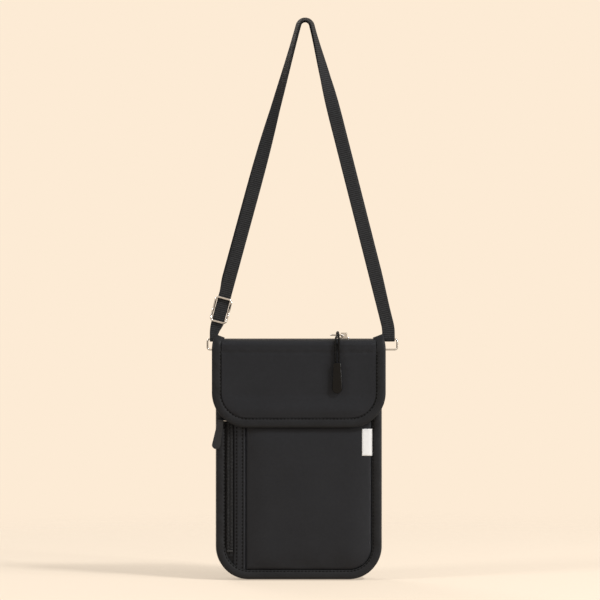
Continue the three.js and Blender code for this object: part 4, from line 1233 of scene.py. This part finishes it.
class POUCH_OT_strap(bpy.types.Operator):
    """Makes the webbing strap, its adjuster and the rings with their tabs"""
    bl_idname = "pouch.strap"
    bl_label = "Strap"

    def execute(self, context):
        line = StrapLine()
        step = sizes().rib_pitch / 2

        def spaced(start, end):
            count = max(2, round(abs(end - start) / step))
            return [start + (end - start) * i / count for i in range(count + 1)]

        def turn_round(x, reverse):
            stations = []
            for i in range(1, 12):
                angle = math.pi * i / 12
                outward = Vector((0, -math.cos(angle), -math.sin(angle)))
                middle = Vector((x, 0, RING_BAR_Z)) + outward * LOOP_RADIUS
                stations.append((middle, RIGHTWARD, outward))
            if reverse:
                return stations[::-1]
            return [(m, -a, o) for m, a, o in stations]

        whole = line.length
        stations = [line.station(s, -1, -1) for s in spaced(SEWN_LEG, 0.0)]
        stations += turn_round(RING_RIGHT, True)
        for s in spaced(0.0, whole):
            stations.append(gathered(line.station(s, 1, 1), whole - s))
        stations += [gathered(station, 0.0) for station in turn_round(RING_LEFT, False)]
        for s in spaced(whole, whole - SEWN_LEG):
            stations.append(gathered(line.station(s, -1, -1), whole - s))
        webbing_piece("strap_front_webbing", stations, "strap", "strap_webbing")

        fold_top = whole - ADJUSTER_RISE - ADJUSTER_FOLD - 0.3 * MM
        start = SEWN_LEG + 0.3 * MM
        back = []
        for s in spaced(start, fold_top):
            shift = SIDE_SHIFT + (LEFT_SHIFT - SIDE_SHIFT) * ease(s - line.crown_end, 80 * MM)
            shift *= min(ease(s - start, 40 * MM), ease(fold_top - s, 14 * MM))
            back.append(line.station(s, -1, 1, shift))
        top = next(i for i, s in enumerate(spaced(start, fold_top)) if s > line.crown_end)
        webbing_piece("strap_rear_webbing", back[:top + 1], "strap", "strap_back_layer")
        run = webbing_piece("strap_left_rear_webbing", back[top:], "strap")
        anchor = back[top][0]
        fall = back[-1][0] - anchor
        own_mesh(run)
        self.adjuster(line, step)

        for side in ("left", "right"):
            ring = smoothed(f"{side}_ring_wire", f"{side}_ring", finish("metal"))
            settle(ring, "bag", "bright_metal", f"{side}_ring")
            tab = softened(f"{side}_ring_loop", f"{side}_ring_tab", finish("tape_flat"), 0.35 * MM)
            settle(tab, "bag", "edge_tape", f"{side}_ring_tab")
        return {"FINISHED"}

    @staticmethod
    def adjuster(line, step):
        point, way = line.at(line.length - ADJUSTER_RISE)
        lean = math.atan2(-way.x, -way.y)
        seat = Matrix.Translation((point.x, 0, point.y)) @ Matrix.Rotation(lean, 4, "Y")
        wire = 0.8 * MM
        wrap = wire + 0.3 * MM + WEBBING_PLY
        bar_y = LAYER_GAP + wrap
        half, tall, corner = WEBBING_HALF + 0.4 * MM + wire, 9 * MM, 2.4 * MM
        rail = tall - corner
        loop = []
        rounds = 10
        for k, (cx, cz) in enumerate(((half - corner, rail), (corner - half, rail), (corner - half, -rail),
                                      (half - corner, -rail))):
            for i in range(rounds + 1):
                angle = (k + i / rounds) * math.pi / 2
                loop.append((cx + corner * math.cos(angle), cz + corner * math.sin(angle)))
            if k in (0, 2):
                continue
            side = -half if k == 1 else half
            sign = 1 if k == 1 else -1
            loop += [(side, sign * rail * (1 - 2 * j / 16)) for j in range(1, 16)]
        middles = [Vector((x, bar_y * (1 - 2 * min(1.0, abs(z) / rail) ** 2), z)) for x, z in loop]
        stations = []
        for i, middle in enumerate(middles):
            way = (middles[(i + 1) % len(middles)] - middles[i - 1]).normalized()
            side = way.cross(BACKWARD).normalized()
            stations.append((middle, side, way.cross(side), 0.0))
        points, faces, _ = sweep(stations, round_section(wire, 14), True)
        bar = [(Vector((half * t, bar_y, 0)), BACKWARD, UPWARD, 0.0) for t in (-1.0, -0.5, 0.0, 0.5, 1.0)]
        more, bar_faces, _ = sweep(bar, round_section(wire, 14))
        base = len(points)
        points += more
        faces += [tuple(base + i for i in face) for face in bar_faces]
        points = [tuple(seat @ Vector(p)) for p in points]
        frame_piece = make_piece("adjuster_wire", points, faces, finish("metal"))
        settle(frame_piece, "adjuster", "bright_metal", "adjuster_frame")

        sewn = LAYER_GAP + 2 * WEBBING_PLY + 0.3 * MM
        rows = []
        count = round(ADJUSTER_FOLD / step)
        for i in range(count):
            rows.append((Vector((0, LAYER_GAP, ADJUSTER_FOLD * (1 - i / count))), -RIGHTWARD, FRONT))
        for i in range(13):
            angle = math.pi * i / 12
            outward = Vector((0, -math.cos(angle), -math.sin(angle)))
            rows.append((Vector((0, bar_y, 0)) + outward * wrap, -RIGHTWARD, outward))
        far = bar_y + wrap
        for i in range(1, count + 1):
            t = i / count
            y = far + (sewn - far) * ease(t, 0.55)
            rows.append((Vector((0, y, ADJUSTER_FOLD * t)), -RIGHTWARD, BACKWARD))
        spin = seat.to_3x3()
        webbing_piece("adjuster_webbing", [(seat @ m, spin @ a, spin @ o) for m, a, o in rows], "adjuster",
                      "adjuster_fold")


class POUCH_OT_stitches(bpy.types.Operator):
    """Sews the rows of stitches along the tapes, the placket and the fold"""
    bl_idname = "pouch.stitches"
    bl_label = "Stitches"

    def execute(self, context):
        front_depth = TAPE_BACK - TAPE_FRONT
        bag_rows = [self.inset(edge_line(HALF, 0.0, high("front_binding").z - TUCK, BASE_CORNER),
                               TAPE_WIDTH - STITCH_INSET, TAPE_FRONT + STITCH_SINK * front_depth)]
        back_face = high("back_binding").y
        back_depth = back_face - low("back_binding").y
        bag_rows.append(self.inset(edge_line(HALF, 0.0, high("back_binding").z - TUCK, BASE_CORNER),
                                   TAPE_WIDTH - STITCH_INSET, back_face - STITCH_SINK * back_depth))
        strip_left, strip_right = low("pocket_placket").x, high("pocket_placket").x
        row_y = POCKET_BACK - 1.65 * MM
        for x in (strip_left + PLACKET_SEAM, strip_right - PLACKET_SEAM):
            bag_rows.append([(x, row_y, POCKET_BOTTOM + 2 * MM), (x, row_y, POCKET_TOP - MM)])
        seam_z = FOLD_HEIGHT + 0.55 * MM
        seam_y = FOLD_REAR - 1.2 * MM
        bag_rows.append([(2 * MM - FLAP_HALF, seam_y, seam_z), (FLAP_HALF - 2 * MM, seam_y, seam_z)])
        self.sew("bag_stitches", bag_rows, "bag")

        lo, hi = low("flap_binding"), high("flap_binding")
        width = hi.x - FLAP_HALF
        row = self.inset(edge_line(hi.x, lo.z, BAND_Z, FLAP_CORNER), width - STITCH_INSET,
                         lo.y + STITCH_SINK * (hi.y - lo.y))
        self.sew("flap_stitches", [row], "flap")
        return {"FINISHED"}

    @staticmethod
    def inset(line, depth, y):
        return [(x + nx * depth, y, z + nz * depth) for x, z, (nx, nz) in line]

    @staticmethod
    def sew(name, rows, body):
        s = sizes()
        stitch = (s.thread, s.thread, s.stitch_length)
        row = beads(name, rows, s.stitch_pitch, stitch, (0, 1, 0), finish("thread"))
        settle(row, body, "edge_tape")


FLOOR_GLOW = 0.45
FLOOR_Z = -0.8 * MM


def seen_rays(tree):
    """One for rays from the camera, a mirror or glass, nought for the rest"""
    rays = tree.nodes.new("ShaderNodeLightPath")
    camera, glossy, through = [Wire(tree, rays.outputs[f"Is {kind} Ray"])
                               for kind in ("Camera", "Glossy", "Transmission")]
    return (camera + glossy + through).math("MINIMUM", 1.0)


class POUCH_OT_stage(bpy.types.Operator):
    """Makes the pale floor, the soft lights, the plain background and the camera"""
    bl_idname = "pouch.stage"
    bl_label = "Stage"

    def execute(self, context):
        self.floor()
        self.lights()
        self.camera()
        context.scene.view_settings.view_transform = "Standard"
        return {"FINISHED"}

    @staticmethod
    def floor():
        """A pale floor that keeps the shadow and fades out into the background"""
        sides, radius, solid, gone = 72, 1.6, 0.30, 0.75
        points = [(radius * math.cos(TAU * i / sides), radius * math.sin(TAU * i / sides), FLOOR_Z)
                  for i in range(sides)]
        mesh = bpy.data.meshes.new("floor")
        mesh.from_pydata(points, [], [tuple(range(sides))])
        paper = Finish("floor_paper")
        colour = colours().backdrop
        place = paper.place()
        grain = paper.noise(place, 900.0, 2.0)
        paper.set(Base_Color=paper.blend(grain, shade(colour, 0.97), shade(colour, 1.0)), Roughness=0.9)
        glow = paper.tree.nodes.new("ShaderNodeEmission")
        glow.inputs["Color"].default_value = shade(colour, 1.0)
        clear = paper.tree.nodes.new("ShaderNodeBsdfTransparent")
        lit = paper.mixed(seen_rays(paper.tree) * FLOOR_GLOW, paper.shader, glow)
        away = paper.node("ShaderNodeVectorMath", {"operation": "LENGTH"}, {"Vector": place}, "Value")
        fade = ((away - solid) * (1 / (gone - solid))).math("MAXIMUM", 0.0).math("MINIMUM", 1.0)
        faded = paper.mixed(fade * fade * (3.0 - fade * 2.0), lit, clear)
        paper.tree.links.new(faded.outputs[0], paper.tree.nodes["Material Output"].inputs[0])
        new_object("floor", mesh, paper.material)

    @staticmethod
    def lights():
        lamps = (
            ("key_light", (1.7, -1.3, 2.1), 0.4, 50.0),
            ("fill_light", (-1.8, -1.0, 1.2), 0.5, 17.0),
            ("top_light", (0.2, -0.1, 2.0), 1.3, 3.0),
            ("side_light", (1.3, -0.55, 0.4), 0.35, 10.0),
            ("rear_light", (-0.9, 1.7, 1.3), 0.8, 9.0),
        )
        aim = Vector((0, 0, 0.15))
        for name, place, size, power in lamps:
            data = bpy.data.lights.new(name, "AREA")
            data.size = size
            data.energy = power
            lamp = bpy.data.objects.new(name, data)
            lamp.location = place
            lamp.rotation_euler = (aim - Vector(place)).to_track_quat("-Z", "Y").to_euler()
            bpy.context.scene.collection.objects.link(lamp)
        world = bpy.data.worlds.new("studio")
        world.use_nodes = True
        tree = world.node_tree
        light = tree.nodes["Background"]
        light.inputs["Color"].default_value = (0.94, 0.97, 1.0, 1.0)
        light.inputs["Strength"].default_value = 0.24
        view = tree.nodes.new("ShaderNodeBackground")
        view.inputs["Color"].default_value = shade(colours().backdrop, 1.0)
        mix = tree.nodes.new("ShaderNodeMixShader")
        tree.links.new(seen_rays(tree).socket, mix.inputs[0])
        tree.links.new(light.outputs[0], mix.inputs[1])
        tree.links.new(view.outputs[0], mix.inputs[2])
        tree.links.new(mix.outputs[0], tree.nodes["World Output"].inputs[0])
        bpy.context.scene.world = world

    @staticmethod
    def camera():
        away, frame_width = 2.2, 0.447
        data = bpy.data.cameras.new("camera")
        data.sensor_width = 36.0
        data.lens = data.sensor_width * away / frame_width
        data.clip_end = 30.0
        camera = bpy.data.objects.new("camera", data)
        camera.location = (0.9 * MM, -away, 207 * MM)
        camera.rotation_euler = (math.pi / 2, 0, 0)
        bpy.context.scene.collection.objects.link(camera)
        bpy.context.scene.camera = camera


class POUCH_PT_panel(bpy.types.Panel):
    """Lists the pouch's pieces"""
    bl_idname = "POUCH_PT_panel"
    bl_label = "Pouch"
    bl_space_type = "VIEW_3D"
    bl_region_type = "UI"
    bl_category = "Pouch"

    def draw(self, context):
        for group in (context.scene.pouch_sizes, context.scene.pouch_colours):
            for name in group.__annotations__:
                self.layout.prop(group, name)
        for operator in OPERATORS:
            self.layout.operator(operator.bl_idname)


OPERATORS = (POUCH_OT_body, POUCH_OT_tapes, POUCH_OT_pocket, POUCH_OT_flap, POUCH_OT_zips, POUCH_OT_strap,
             POUCH_OT_stitches, POUCH_OT_stage)
CLASSES = (PouchSizes, PouchColours, *OPERATORS, POUCH_PT_panel)


def register():
    for cls in CLASSES:
        bpy.utils.register_class(cls)
    bpy.types.Scene.pouch_sizes = bpy.props.PointerProperty(type=PouchSizes)
    bpy.types.Scene.pouch_colours = bpy.props.PointerProperty(type=PouchColours)


def unregister():
    del bpy.types.Scene.pouch_colours
    del bpy.types.Scene.pouch_sizes
    for cls in reversed(CLASSES):
        bpy.utils.unregister_class(cls)


def main():
    register()
    bpy.ops.pouch.stage()
    bpy.ops.pouch.body()
    bpy.ops.pouch.tapes()
    bpy.ops.pouch.pocket()
    bpy.ops.pouch.flap()
    bpy.ops.pouch.zips()
    bpy.ops.pouch.strap()
    bpy.ops.pouch.stitches()


if __name__ == "__main__":
    main()
